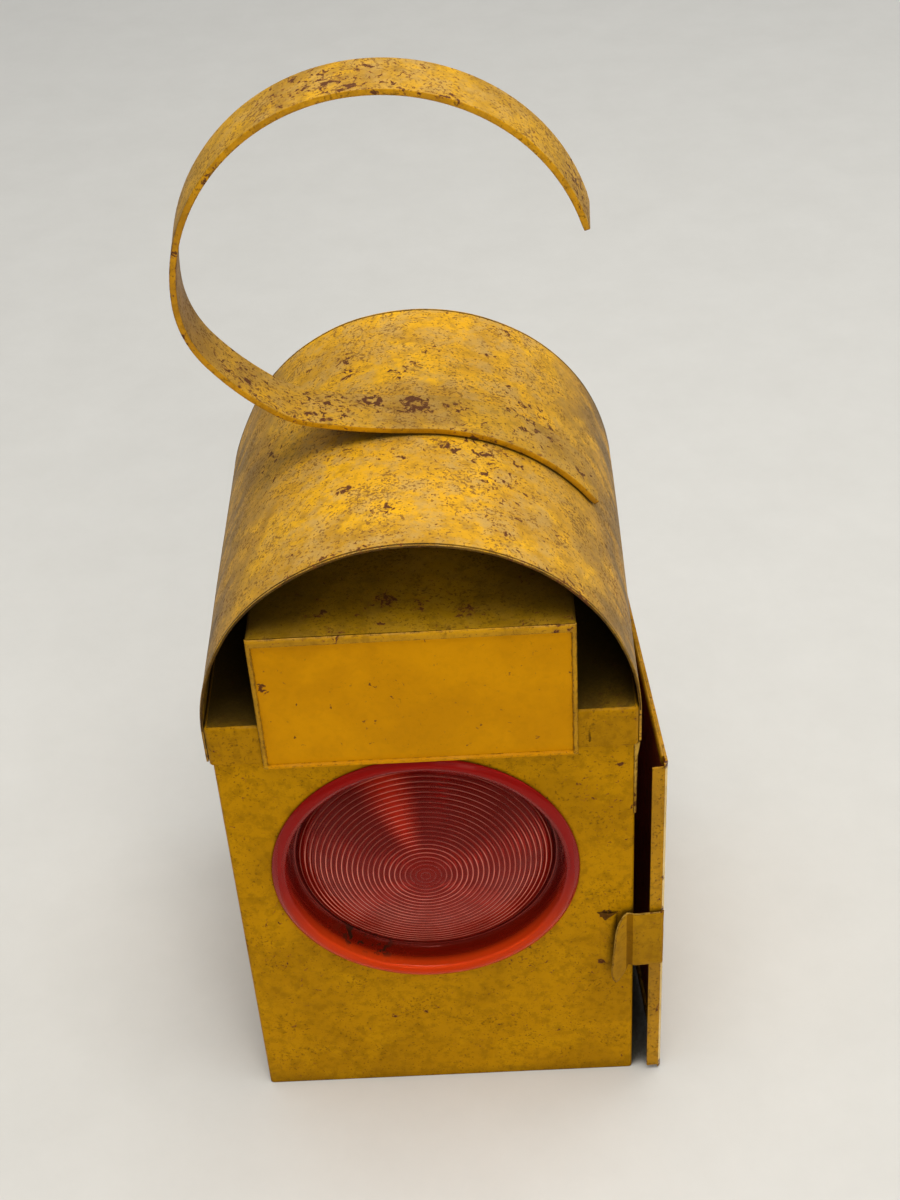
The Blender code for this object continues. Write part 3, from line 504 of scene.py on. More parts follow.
OCHRE = paint(
    "ochre_enamel", (0.5, 0.232, 0.0004), (0.4, 0.183, 0.0004), bright=(0.55, 0.265, 0.0004), speckle=0.8,
    dust=0.2, wear=0.6, gloss=0.38, shine=0.03, marks=BODY_MARKS)
BAND = paint(
    "band_enamel", (0.43, 0.197, 0.0004), (0.34, 0.155, 0.0004), bright=(0.47, 0.222, 0.0004), speckle=0.8,
    rust=0.35, dust=0.2, wear=0.7, gloss=0.38, shine=0.04)
GOLD = paint(
    "hood_enamel", (0.74, 0.37, 0.005), (0.5, 0.25, 0.014), bright=(0.86, 0.44, 0.0015),
    speck=(0.22, 0.1, 0.016), speckle=1.3, rust=0.62, dust=0.75, grime_and_shade=0.7, wear=0.8, shine=0.22,
    streaks=0.95, marks=HOOD_MARKS)
STRAP = paint(
    "strap_enamel", (0.62, 0.32, 0.009), (0.4, 0.205, 0.016), bright=(0.72, 0.37, 0.003),
    speck=(0.2, 0.09, 0.016), speckle=1.3, rust=0.75, dust=0.6, grime_and_shade=0.6, wear=0.7, shine=0.25,
    streaks=0.5, marks=STRAP_MARKS)
STRAP_EDGE = paint(
    "strap_edge_enamel", (0.6, 0.28, 0.001), (0.46, 0.205, 0.001), speckle=0.8, rust=0.5, dust=0.0,
    grime_and_shade=0.5, gloss=0.32, shine=0.2)
RIM = paint(
    "rim_enamel", (0.22, 0.11, 0.005), (0.07, 0.035, 0.003), speckle=1.6, rust=1.0, dust=0.0, grime_and_shade=0.6,
    wear=1.6, mottle=0.9)
VENT = paint(
    "vent_enamel", (0.63, 0.268, 0.0004), (0.54, 0.225, 0.0004), speckle=0.0, rust=0.04, dust=0.15,
    grime_and_shade=0.75, wear=0.8, gloss=0.3, shine=0.03, mottle=0.14, marks=VENT_MARKS)
VENT_EDGE = paint(
    "vent_fold_enamel", (0.52, 0.25, 0.004), (0.4, 0.19, 0.004), rust=0.4, dust=0.3, grime_and_shade=0.6,
    gloss=0.3)
# its reach of 45 mm spreads the painted shade and grime far back along the case top under the hood
VENT_TOP = paint(
    "vent_case_enamel", (0.38, 0.2, 0.0015), (0.26, 0.135, 0.001), speckle=1.1, grime_and_shade=0.85, wear=0.2,
    gloss=0.45, reach=45, marks=VENT_TOP_MARKS)
# its reach of 50 mm and full strength spread the painted shade and grime far in under the hood over the
# plate
PLATE = paint(
    "cap_plate_enamel", (0.3, 0.155, 0.002), (0.1, 0.052, 0.001), speckle=1.4, rust=0.5, grime_and_shade=1.0,
    wear=0.4, gloss=0.5, reach=50)
CLIP = paint(
    "clip_enamel", (0.44, 0.21, 0.0005), (0.36, 0.168, 0.0005), grime_and_shade=0.6, gloss=0.35, shine=0.05,
    marks=((76, -91, 70, 4, 1.1),))
# painted shade for the darker front faces of the latch's V crease
CLIP_CREASE_SHADE = paint(
    "clip_crease_painted_shade", (0.28, 0.12, 0.0006), (0.2, 0.085, 0.0006), rust=0.5, gloss=0.45, shine=0.03)
# painted highlight with chipped wear and rust: pale paint for light caught on the latch's upper and tip
# edges and on the jamb's bent edge
EDGE_HIGHLIGHT_AND_WEAR = paint(
    "edge_highlight_and_wear", (0.56, 0.33, 0.05), (0.4, 0.2, 0.01), speckle=1.2, rust=0.9, grime_and_shade=0.3,
    wear=1.6, gloss=0.4, shine=0.05)
DOOR_PAINT = paint(
    "door_enamel", (0.5, 0.235, 0.001), (0.38, 0.175, 0.001), speckle=1.1, dust=0.3, grime_and_shade=0.5, wear=0.6,
    gloss=0.34, shine=0.12, marks=DOOR_MARKS)
# painted highlight: pale cream for light caught on the door's rounded front fold
DOOR_FOLD_HIGHLIGHT = paint(
    "door_fold_painted_highlight", (0.8, 0.56, 0.2), (0.66, 0.42, 0.1), speckle=0.4, grime_and_shade=0.1, wear=0.5,
    gloss=0.05, shine=0.6, mottle=0.3, marks=DOOR_FOLD_MARKS)
# painted shade: the dark, slightly rusty colour of the sheet laid over the catch's slit
SLIT_SHADE = paint(
    "catch_slit_painted_shade", (0.12, 0.046, 0.005), (0.055, 0.02, 0.003), speckle=0.5, rust=0.6, dust=0.0,
    grime_and_shade=0.4, wear=0.3, gloss=0.6, shine=0.03)
INSIDE = paint("inner_enamel", (0.13, 0.04, 0.012), (0.07, 0.02, 0.008), rust=0.4, wear=0.3, gloss=0.5)
DOOR_INSIDE = paint(
    "door_inner_enamel", (0.42, 0.088, 0.036), (0.33, 0.068, 0.028), rust=0.4, grime_and_shade=0.0, wear=0.4,
    gloss=0.35)
# Of each lens finish's two colours, the second, used low down, is the paler lit one: painted light.
LENS = lens_red("red_lens_dome", (0.62, 0.014, 0.004), (0.66, 0.045, 0.022), 0.82, rings=0.9)
LENS_EDGE = lens_red("red_lens_edge", (0.5, 0.014, 0.01), (0.98, 0.085, 0.008), 0.6)
STEEL = bare_metal("dull_zinc_steel", (0.4, 0.38, 0.35), 0.38, 0.55)
TIN = bare_metal("tinned_tank", (0.5, 0.48, 0.44), 0.3, 0.45)
BRASS = bare_metal("tarnished_brass", (0.6, 0.4, 0.13), 0.3, 0.5, tone=(0.16, 0.09, 0.03))
COTTON = plain("wick_weave", (0.6, 0.52, 0.38), 0.95, 0.6, 0.15)
RUBBER = plain("black_seal", (0.03, 0.03, 0.03), 0.75, 1.0, 0.05)


# ---- casing

def body_shell():
    """The folded wrapper: soft corners, faintly wavy panels, lens hole and doorway."""
    rows = []
    for z in spread(0.0, BODY.z, 5 * MM):
        ring = rounded_rectangle(BODY.x, BODY.y, 1.8 * MM, z)
        ends = smoothstep(0.0, 14 * MM, z) * smoothstep(BODY.z, BODY.z - 25 * MM, z)
        for point in ring:
            flat_x = 1.0 - smoothstep(BODY.x - 25 * MM, BODY.x - 2 * MM, abs(point.x))
            flat_y = 1.0 - smoothstep(BODY.y - 25 * MM, BODY.y - 2 * MM, abs(point.y))
            push = 0.35 * MM * ripple(point, 55) * ends - 0.1 * MM * ends
            if abs(point.y) > BODY.y - 1 * MM:
                point.y += (1 if point.y > 0 else -1) * push * flat_x
            if abs(point.x) > BODY.x - 1 * MM:
                point.x += (1 if point.x > 0 else -1) * push * flat_y
        rows.append(ring)
    shell = surface("body_shell", rows, closed=True)
    thicken(shell, SHEET, OCHRE, INSIDE)
    boolean(shell, rod(LENS_RIM - 4.3 * MM, 10 * MM, LENS_PLACE, (0, -1, 0), 96))
    doorway = box_mesh("doorway", (BODY.x - 10 * MM, -80.5 * MM, 14 * MM),
                       (BODY.x + 10 * MM, 76.5 * MM, 188 * MM))
    soften(doorway, 8 * MM, 5)
    boolean(shell, doorway)
    put(shell, "casing", (OCHRE, INSIDE), "ochre_paint", "lamp_body")


def catch():
    """Bridge pressed out of the front panel for the door's clip to snap over, and a dark sheet over the slit
    at its top as painted shade.
    """
    section = ((69.2, -0.9), (70.3, 0.0), (71.6, 0.35), (73.0, 0.85), (74.2, 1.12), (75.5, 1.2),
               (76.6, 1.12), (77.4, 0.7), (77.9, 0.0), (78.0, -0.9))
    rows = []
    for z in spread(*CATCH_Z, 2 * MM):
        row = []
        for x, height in section:
            x = x * MM + 0.25 * MM * ripple((0, 0, z), 14, 2.0)
            lift = height * MM * (1 + 0.1 * ripple((x, 0, z), 8))
            row.append((x, FRONT_Y - lift, z))
        rows.append(row)
    bridge = surface("pressed_catch", rows)
    thicken(bridge, 0.4 * MM)
    put(bridge, "casing", (OCHRE,), "ochre_paint")
    # painted shade: a thin dark sheet over the slit's opening
    rows = []
    for above, left, right in ((-4.0, 72.2, 72.8), (-2.2, 71.2, 74.0), (-1.0, 70.4, 75.4),
                               (-0.1, 69.4, 77.6), (0.4, 69.0, 78.2)):
        row = []
        for t in spread(0, 1, 1 / 6):
            x = (left + (right - left) * t) * MM
            lift = 1.15 * smoothstep(70.3 * MM, 74.2 * MM, x) * smoothstep(78.0 * MM, 76.6 * MM, x)
            row.append((x, FRONT_Y - (0.28 + lift) * MM, CATCH_Z[1] + above * MM))
        rows.append(row)
    slit = surface("catch_slit", rows)
    thicken(slit, 0.2 * MM)
    put(slit, "casing", (SLIT_SHADE,), "ochre_paint")


def cap():
    """Lid with its band: folded top edge, a nick in the front, plate running in to the vent opening."""
    half_x, half_y, top = BAND_HIGH
    fold = 1.3 * MM
    rings = [(0.0, z) for z in spread(BAND_LOW.z, top - fold, 3 * MM)]
    rings += [(fold - fold * cos(a), top - fold + fold * sin(a)) for a in (*BENDS, pi / 2)]
    rows = []
    for inset, z in rings:
        ring = rounded_rectangle(half_x - inset, half_y - inset, 2.4 * MM - inset * 0.5, z)
        for point in ring:
            point.z += 0.25 * MM * ripple(point, 30, 4.0) * smoothstep(top - 4 * MM, BAND_LOW.z, z)
            if inset == 0.0 and z < top - 3 * MM:
                point.y += (-1 if point.y < 0 else 1) * 0.15 * MM * ripple(point, 25, 5.0)
        rows.append(ring)
    lid = surface("cap_band", rows, closed=True)
    thicken(lid, 0.9 * MM)
    boolean(lid, box_mesh("nick", (66.2 * MM, -half_y - 2 * MM, 208.0 * MM),
                          (66.9 * MM, -half_y + 0.6 * MM, 213.2 * MM)))
    put(lid, "casing", (BAND,), "ochre_paint", "top_cap")
    plate = surface("cap_plate", [
        [(x, y, top - 0.02 * MM + 0.2 * MM * ripple((x, y, 0), 40, 6.0))
         for x in spread(-half_x + fold, half_x - fold, 4 * MM)]
        for y in spread(-half_y + fold, half_y - fold, 4 * MM)])
    thicken(plate, 0.85 * MM)
    boolean(plate, box_mesh("opening", (-50 * MM, -55 * MM, top - 10 * MM),
                            (50 * MM, 55 * MM, top + 10 * MM)))
    put(plate, "casing", (PLATE,), "ochre_paint")


def vent_housing():
    """Vent box: a bent case with slots, and a front and rear panel set inside folded edges."""
    x, low, high = VENT_HIGH.x, BAND_HIGH.z + 0.3 * MM, VENT_HIGH.z + 1.0 * MM
    bend = 1.4 * MM
    outline = [(-x, z) for z in spread(low, high - bend, 5 * MM)]
    outline += [(-x + bend - bend * cos(a), high - bend + bend * sin(a)) for a in BENDS]
    outline += [(u, high) for u in spread(-x + bend, x - bend, 5 * MM)]
    outline += [(x - bend + bend * sin(a), high - bend + bend * cos(a)) for a in BENDS]
    outline += [(x, z) for z in spread(high - bend, low, 5 * MM)]
    rows = []
    for y in spread(VENT_LOW.y + 1.5 * MM, VENT_HIGH.y - 1.5 * MM, 5 * MM):
        rows.append([(u, y, z + 0.3 * MM * ripple((u, y, z), 45, 2.0) * (1 if z >= high else 0))
                     for u, z in outline])
    case = surface("vent_case", rows)
    thicken(case, SHEET)
    for y in (-48 * MM, 0.0, 48 * MM):
        boolean(case, box_mesh("slot", (-x - 5 * MM, y - 17 * MM, 248 * MM),
                               (x + 5 * MM, y + 17 * MM, 256 * MM)))
    case.data.transform(VENT_SHIFT)
    put(case, "casing", (VENT_TOP,), "vent_paint", "vent_box")
    inner, sill = x - 2.0 * MM, VENT_LOW.z
    heights = [sill, sill + 0.9 * MM, sill + 1.3 * MM] + spread(sill + 2.4 * MM, high - 4.0 * MM, 5 * MM)
    heights += [high - drop * MM for drop in (3.6, 3.2, 2.0, 1.3, 0.6, 0.2)] + [high]
    right = [inner, inner + 0.3 * MM, x - 0.8 * MM, x - 0.25 * MM, x]
    across = [-u for u in right[::-1]] + spread(-inner + 2 * MM, inner - 2 * MM, 5 * MM) + right
    for name, side in (("vent_front", -1), ("vent_rear", 1)):
        rows = []
        for z in heights:
            row = []
            for u in across:
                depth = 0.0
                if z < sill + 1.0 * MM:
                    depth = -0.35 * MM
                elif abs(u) <= inner + 0.01 * MM and z <= high - 3.55 * MM:
                    depth = 0.9 * MM + 0.25 * MM * ripple((u, 0, z), 38, 8.0)
                for edge, size in ((x - abs(u), 0.8 * MM), (high - z, 1.2 * MM)):
                    depth += 0.9 * size * (1 - sqrt(max(0.0, 1 - (1 - min(edge / size, 1.0)) ** 2)))
                row.append((u, side * (VENT_HIGH.y - depth), z))
            rows.append(row)
        panel = surface(name, rows, flip=side > 0)
        thicken(panel, 0.9 * MM)
        put(panel, "casing", (VENT, VENT_EDGE), "vent_paint")
        for face in panel.data.polygons:
            fold = abs(face.center.x) > inner or face.center.z > high - 3.6 * MM
            face.material_index = int(fold)
        panel.data.transform(VENT_SHIFT)


# ---- hood and hook

def hood_lean(x, y, z):
    """How far the hood, which sits a little askew, drifts to the door side towards the rear."""
    free = 1.0 if x > 0 else smoothstep(226 * MM, 262 * MM, z)
    return 2.2 * MM * smoothstep(HOOD_LOW.y, HOOD_HIGH.y, y) * free


def hood_point(angle, radius, y):
    """A point on the hood: an angle over the top, or below it on a skirt."""
    if 0.0 <= angle <= pi:
        point = Vector((radius * cos(angle), y, HOOD_AXIS_Z + radius * sin(angle)))
    else:
        drop = -angle if angle < 0 else angle - pi
        point = Vector((radius if angle < 0 else -radius, y, HOOD_AXIS_Z - drop * HOOD_RADIUS))
    out = (point - Vector((0, y, HOOD_AXIS_Z))).normalized()
    free = smoothstep(BAND_HIGH.z, BAND_HIGH.z + 25 * MM, point.z)
    point += out * free * (0.9 * MM * ripple(point, 70, 3.0) + 0.25 * MM * ripple(point, 22, 1.0))
    point.x += hood_lean(*point)
    return point


def hood():
    """Barrel-shaped sheet with side skirts, and a rolled rim at its front and rear."""
    skirt = (HOOD_AXIS_Z - HOOD_LOW.z) / HOOD_RADIUS
    angles = [-a for a in spread(skirt, 0.0, 0.045)][:-1] + spread(0.0, pi, radians(2.5))
    angles += [pi + a for a in spread(0.0, skirt, 0.045)][1:]
    rows = [[hood_point(angle, HOOD_RADIUS, y) for angle in angles]
            for y in spread(HOOD_LOW.y + 0.2 * MM, HOOD_HIGH.y - 0.2 * MM, 4 * MM)]
    sheet = surface("hood_sheet", rows, flip=True)
    thicken(sheet, 0.9 * MM)
    put(sheet, "casing", (GOLD,), "hood_paint", "roof_hood")
    top = HOOD_RADIUS + 0.05 * MM
    for name, y, side in (("hood_rim_front", HOOD_LOW.y, 1), ("hood_rim_rear", HOOD_HIGH.y, -1)):
        rows = []
        for angle in spread(radians(1.0), radians(179.0), radians(1.5)):
            taper = smoothstep(0.0, radians(10), min(angle, pi - angle))
            deep = (1.0 + 0.35 * taper) * (1 + 0.1 * ripple((angle * 90 * MM, 0, 0), 7, y * 50))
            near = 0.18 * ripple((angle * 90 * MM, 0, 1), 9, y * 20)
            far = 1.9
            rows.append([hood_point(angle, top - inward * MM, y + side * along * MM) for inward, along in (
                (0.15, far), (0.0, far - 0.5), (0.0, near + 0.7), (0.25, near + 0.2), (0.7, near),
                (deep - 0.6, near), (deep - 0.15, near + 0.3), (deep, near + 0.9), (deep, far - 0.8),
                (deep - 0.5, far - 0.1))])
        rim = surface(name, rows, closed=True, caps=True, flip=side > 0)
        put(rim, "casing", (RIM,), "hood_paint", sharp=50.0)


def walk(start, heading, moves):
    """A path of arcs: each move is (radius, turn to the right). Gives (x, z, heading, length) points."""
    x, z = start
    length = 0.0
    points = [(x, z, heading, 0.0)]
    for radius, turn in moves:
        side = 1.0 if turn > 0 else -1.0
        centre_x = x + side * radius * sin(heading)
        centre_z = z - side * radius * cos(heading)
        count = max(2, round(abs(turn) / radians(2.5)))
        for i in range(1, count + 1):
            direction = heading - turn * i / count
            x = centre_x - side * radius * sin(direction)
            z = centre_z + side * radius * cos(direction)
            points.append((x, z, direction, length + radius * abs(turn) * i / count))
        heading -= turn
        length += radius * abs(turn)
    return points


def hook_strap():
    """Flat bar bent over the hood and up into an open hook: rounded edges, a slight twist, sawn ends."""
    radius = HOOD_RADIUS + 0.3 * MM + STRAP_THICK / 2
    start_angle = radians(57.0)
    start = (radius * sin(start_angle), HOOD_AXIS_Z + radius * cos(start_angle))
    moves = [(radius, radians(-54.5)), (250 * MM, radians(9.5)), (41 * MM, radians(25.5)),
             (115 * MM, radians(15.5)), (45 * MM, radians(37.0)), (80.5 * MM, radians(164.5))]
    path = walk(start, pi - start_angle, moves)
    total = path[-1][3]
    section = rounded_rectangle(STRAP_WIDE / 2, STRAP_THICK / 2, 0.5 * MM, 0, 4, gap=STRAP_WIDE)
    rows = []
    for x, z, heading, length in path:
        free = smoothstep(95 * MM, 200 * MM, length)
        twist = radians(3.2) * free
        outward = Vector((-sin(heading), 0, cos(heading)))
        centre = Vector((x + hood_lean(x, 0, z) * (1 - free), 0, z))
        centre += outward * 0.35 * MM * ripple((length, 0, 0), 60) * free
        shrink = 1.0 - 0.1 * (1 - smoothstep(0, 2 * MM, min(length, total - length)))
        row = []
        for u, v, _ in section:
            u *= 1 + 0.008 * ripple((length, 0, 3), 18)
            across = Vector((0, u * cos(twist) * shrink, 0))
            row.append(centre + across + outward * (u * sin(twist) - v * shrink))
        rows.append(row)
    strap = surface("hook_strap", rows, closed=True, caps=True)
    put(strap, "casing", (STRAP, STRAP_EDGE), "hood_paint", "handle_strap", sharp=50.0)
    for face in strap.data.polygons:
        face.material_index = int(abs(face.normal.y) > 0.8)


# ---- lens

def lens():
    """Moulded lens: bead, sunk wall, groove, and a dome of fine concentric steps."""
    edge_depth, rise = 8 * MM, 11 * MM
    rim_end = ((0.9, 1.9), (0.2, 1.3), (0.0, 0.8), (0.1, 0.3))
    sphere = (DOME_RADIUS ** 2 + rise ** 2) / (2 * rise)
    step_shape = ((0.0, 0.0), (0.12, 0.05), (0.4, 0.1), (0.68, 0.05), (0.78, 0.0), (0.89, -0.32))

    def height(radius):
        return rise - edge_depth - (sphere - sqrt(sphere ** 2 - radius ** 2))

    front = [(0.0, height(0))]
    for k in range(RING_COUNT):
        outer = RING_FIRST + k * RING_PITCH
        inner = max(outer - RING_PITCH, 0.3 * MM)
        for share, lift in step_shape:
            radius = inner + (outer - inner) * share
            front.append((radius, height(radius) + lift * min(1.0, 0.15 + k / 5) * MM))
    front += profile(0.0, (54.2, -8.3), (55.4, -9.3), (56.4, -9.2), (57.3, -8.3), (57.8, -6.5), (59.2, 0.5),
                     (59.7, 2.0))
    front += profile(0.0, *((61.9 - 2.0 * cos(a), 1.4 + 1.5 * sin(a)) for a in (0.5, 1.0, 1.5, 2.0, 2.4)))
    front += [(LENS_RIM - inset * MM, z * MM) for inset, z in rim_end]
    back = profile(0.0, (60.6, 0.3), (60.6, -9.6), (56.5, -12.0), (51, -10.6), (40, -6.6), (26, -2.9),
                   (12, -0.8), (0.0, -0.3))
    piece = turned("red_lens", front + back, LENS_PLACE, (0, -1, 0), steps=160)
    put(piece, "casing", (LENS, LENS_EDGE), "red_lens", "front_lens", sharp=60.0)
    for face in piece.data.polygons:
        out = Vector((face.center.x - LENS_CENTRE.x, face.center.z - LENS_CENTRE.z)).length
        face.material_index = int(out > 56 * MM)


# ---- door and latch

def door():
    """Side door: front lip, rounded corner bend, rolled top and bottom edges, notched corners."""
    x, y = DOOR_FACE_X, DOOR_FACE_Y
    low, high = DOOR_LOW.z, DOOR_HIGH.z
    bend = 1.9 * MM
    outline = [(u, y) for u in spread(x - DOOR_LIP, x - bend, 1.2 * MM)]
    outline += [(x - bend + bend * sin(a), y + bend - bend * cos(a)) for a in (0.35, 0.75, 1.15)]
    outline += [(x, v) for v in spread(y + bend, DOOR_REAR_Y, 5 * MM)]
    rows = []
    for z in [low, low + 0.6 * MM] + spread(low + 3 * MM, high - 3 * MM, 5 * MM) + [high - 0.6 * MM, high]:
        ends = smoothstep(low, low + 15 * MM, z) * smoothstep(high, high - 15 * MM, z)
        row = []
        for u, v in outline:
            flat = smoothstep(y, y + 30 * MM, v) * smoothstep(DOOR_REAR_Y, DOOR_REAR_Y - 30 * MM, v)
            row.append((u + 0.45 * MM * ripple((0, v, z), 60, 1.0) * flat * ends, v, z))
        rows.append(row)
    skin = surface("door_skin", rows)
    thicken(skin, SHEET, DOOR_PAINT, DOOR_INSIDE)
    for below, above in ((high - 2.0 * MM, high + 5 * MM), (low - 5 * MM, low + 1.5 * MM)):
        boolean(skin, box_mesh("notch", (x - DOOR_LIP - 5 * MM, y - 5 * MM, below),
                               (x - 1.7 * MM, y + 2 * MM, above)))
    skin.data.transform(DOOR_TURN)
    put(skin, "door", (DOOR_PAINT, DOOR_INSIDE, DOOR_FOLD_HIGHLIGHT), "ochre_paint", "door_panel")
    # painted highlight: the faces round the front fold take the pale cream finish
    fold = (DOOR_TURN @ Vector((x - 1.3 * MM, y, 0))).x
    for face in skin.data.polygons:
        if face.material_index == 0 and face.center.x > fold and face.center.y < y + 4 * MM:
            face.material_index = 2
    for name, z, side in (("door_hem_top", high, -1), ("door_hem_bottom", low, 1)):
        rows = []
        for v in spread(-85.0 * MM, 84 * MM, 4 * MM):
            swell = 1 + 0.12 * ripple((v, 0, z), 12)
            turns = [2 * pi * i / 14 for i in range(14)]
            rows.append([(x - 1.45 * MM + 1.05 * MM * swell * cos(a), v,
                          z + side * (2.55 * MM - 2.6 * MM * swell * sin(a))) for a in turns])
        hem = surface(name, rows, closed=True, caps=True, flip=side > 0)
        hem.data.transform(DOOR_TURN)
        put(hem, "door", (DOOR_PAINT,), "ochre_paint", sharp=60.0)


def jamb():
    """Edge of the side wall bent slightly outward beside the doorway, down from under the hood, pale as a
    painted highlight.
    """
    low, high = 165.5 * MM, 204.5 * MM
    rows = []
    for z in spread(low, high, 3 * MM):
        t = (z - low) / (high - low)
        out = (0.65 + 0.45 * t + 0.9 * smoothstep(0.8, 1.0, t)) * MM
        rows.append([(BODY.x + u, y * MM, z) for u, y in (
            (-0.4 * MM, -88.3), (0.7 * out, -87.9), (out, -87.5), (out, -86.4))])
    edge = surface("jamb_edge", rows)
    thicken(edge, 0.7 * MM)
    put(edge, "casing", (EDGE_HIGHLIGHT_AND_WEAR,), "ochre_paint")


# The latch's thumb tab, from its root to its tip: x, and the low and high edge there, in mm
LEAF = ((72.0, 76.2, 108.8), (71.0, 73.8, 108.7), (70.0, 71.9, 108.2), (69.0, 70.2, 107.3),
        (68.0, 68.9, 105.6), (67.0, 67.9, 103.2), (66.2, 67.5, 100.2), (65.6, 68.0, 96.0),
        (65.0, 69.6, 90.0), (64.5, 71.2, 83.0), (64.1, 74.0, 77.5))


def latch():
    """Spring strip lying on the door's front lip, ending in a V and a leaf-shaped thumb tab."""
    face_y = DOOR_FACE_Y - 0.3 * MM - SHEET
    right = DOOR_FACE_X - 1.4 * MM
    path = [(right - u * MM, face_y + v * MM) for u, v in ((0.0, 0.75), (0.12, 0.3), (0.5, 0.06))]
    path += [(x, face_y) for x in spread(right - 1.0 * MM, 75.8 * MM, 1.4 * MM)]
    path += profile(face_y, (75.0, 0.08), (74.2, 0.35), (73.3, 0.72), (72.5, 1.0), (71.8, 1.12), (71.2, 1.0),
                    (70.7, 0.72))
    path += profile(face_y, *((70.0 - 5.9 * t, 0.4 - 2.5 * t - 0.9 * t * t) for t in spread(0, 1, 0.1)))
    rows = []
    for x, y in path:
        low, high = LATCH_Z
        for (root_x, root_low, root_high), (tip_x, tip_low, tip_high) in zip(LEAF, LEAF[1:]):
            if tip_x * MM <= x < root_x * MM:
                t = (x - tip_x * MM) / ((root_x - tip_x) * MM)
                low = (tip_low + (root_low - tip_low) * t) * MM
                high = (tip_high + (root_high - tip_high) * t) * MM
        rows.append([(x + 0.12 * MM * ripple((0, 0, z), 7), y + 0.1 * MM * ripple((x, y, z), 9), z)
                     for z in [low + (high - low) * t for t in spread(0, 1, 1 / 14)]])
    clip = surface("latch_clip", rows, flip=True)
    thicken(clip, 0.95 * MM)
    soften(clip, 0.2 * MM)
    put(clip, "latch", (CLIP, CLIP_CREASE_SHADE, EDGE_HIGHLIGHT_AND_WEAR), "ochre_paint", "latch_spring")
    for face in clip.data.polygons:
        tip = face.center.x < 70.2 * MM
        # painted shade on the V crease's front faces
        if 70.9 * MM < face.center.x < 74.0 * MM and face.normal.y < -0.5:
            face.material_index = 1
        # painted highlight on the edges that face up and round the tip
        elif abs(face.normal.y) < 0.75 and (tip or face.normal.z > 0.3):
            face.material_index = 2
    clip.data.transform(DOOR_TURN)


# ---- oil tank and burner

def tank():
    """Tinned tank with a domed shoulder, a bead, a rolled foot, a filler boss and ears for the bail."""
    low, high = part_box("fount_tank")
    foot, neck, radius = low.z, high.z, high.x - 1.2 * MM
    top = neck - 5 * MM
    outline = profile(neck, (17.0, 0.0))
    outline += profile(top, (17.0, 0.8), (17.6, 0.1), (29.0, -0.5), (40.0, -1.5), (48.0, -3.4), (53.5, -6.0),
                       (57.4, -9.4), (59.4, -12.4), (60.0, -14.6))
    outline += profile(0.0, (60.0, 58.0), (60.5, 57.2), (60.0, 56.4))
    outline += profile(foot, (60.0, 5.4), (60.4, 4.6), (61.0, 4.2), (61.2, 3.6), (61.2, 0.5), (60.7, 0.0),
                       (0.0, 0.0), (0.0, 0.8), (59.2, 0.8))
    outline += profile(top, (59.2, -14.8), (53.0, -6.9), (40.0, -2.3), (16.2, -0.8))
    outline += profile(neck, (16.2, 0.0))
    shell = turned("tank_shell", outline, (0, 0, 0), (0, 0, 1), steps=112, ring=True)
    cap_low, cap_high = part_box("fount_cap")
    x, y = ((cap_low + cap_high) / 2).xy
    boss = profile(top, (0, 1), (7.6, 1), (8.0, 0.6), (8.0, -4), (0, -4))
    boolean(shell, turned("boss", boss, (x, y, 0), (0, 0, 1), steps=48), "UNION")
    boolean(shell, rod(5.0 * MM, 8 * MM, (x, y, top), (0, 0, 1), 48))
    for side in (-1, 1):
        inner, outer = sorted((side * (radius - 0.5 * MM), side * (radius + 2.0 * MM)))
        ear = box_mesh("ear", (-4 * MM, inner, 62 * MM), (4 * MM, outer, 70 * MM))
        soften(ear, 1.2 * MM, 3)
        boolean(shell, ear, "UNION")
        boolean(shell, rod(1.6 * MM, 6 * MM, (0, side * radius, 66 * MM), (0, 1, 0), 24))
    put(shell, "casing", (TIN,), "tank_tin", "fount_tank", sharp=40.0)


def knurl(obj, radius, count, depth):
    """Mills an edge: moves each vertex beyond a radius in and out in turn, about the object's centre."""
    corners = [v.co for v in obj.data.vertices]
    x = (min(c.x for c in corners) + max(c.x for c in corners)) / 2
    y = (min(c.y for c in corners) + max(c.y for c in corners)) / 2
    for corner in corners:
        away = Vector((corner.x - x, corner.y - y))
        if away.length > radius:
            scale = 1 - depth * (0.5 - 0.5 * cos(count * atan2(away.y, away.x))) / away.length
            corner.x, corner.y = x + away.x * scale, y + away.y * scale


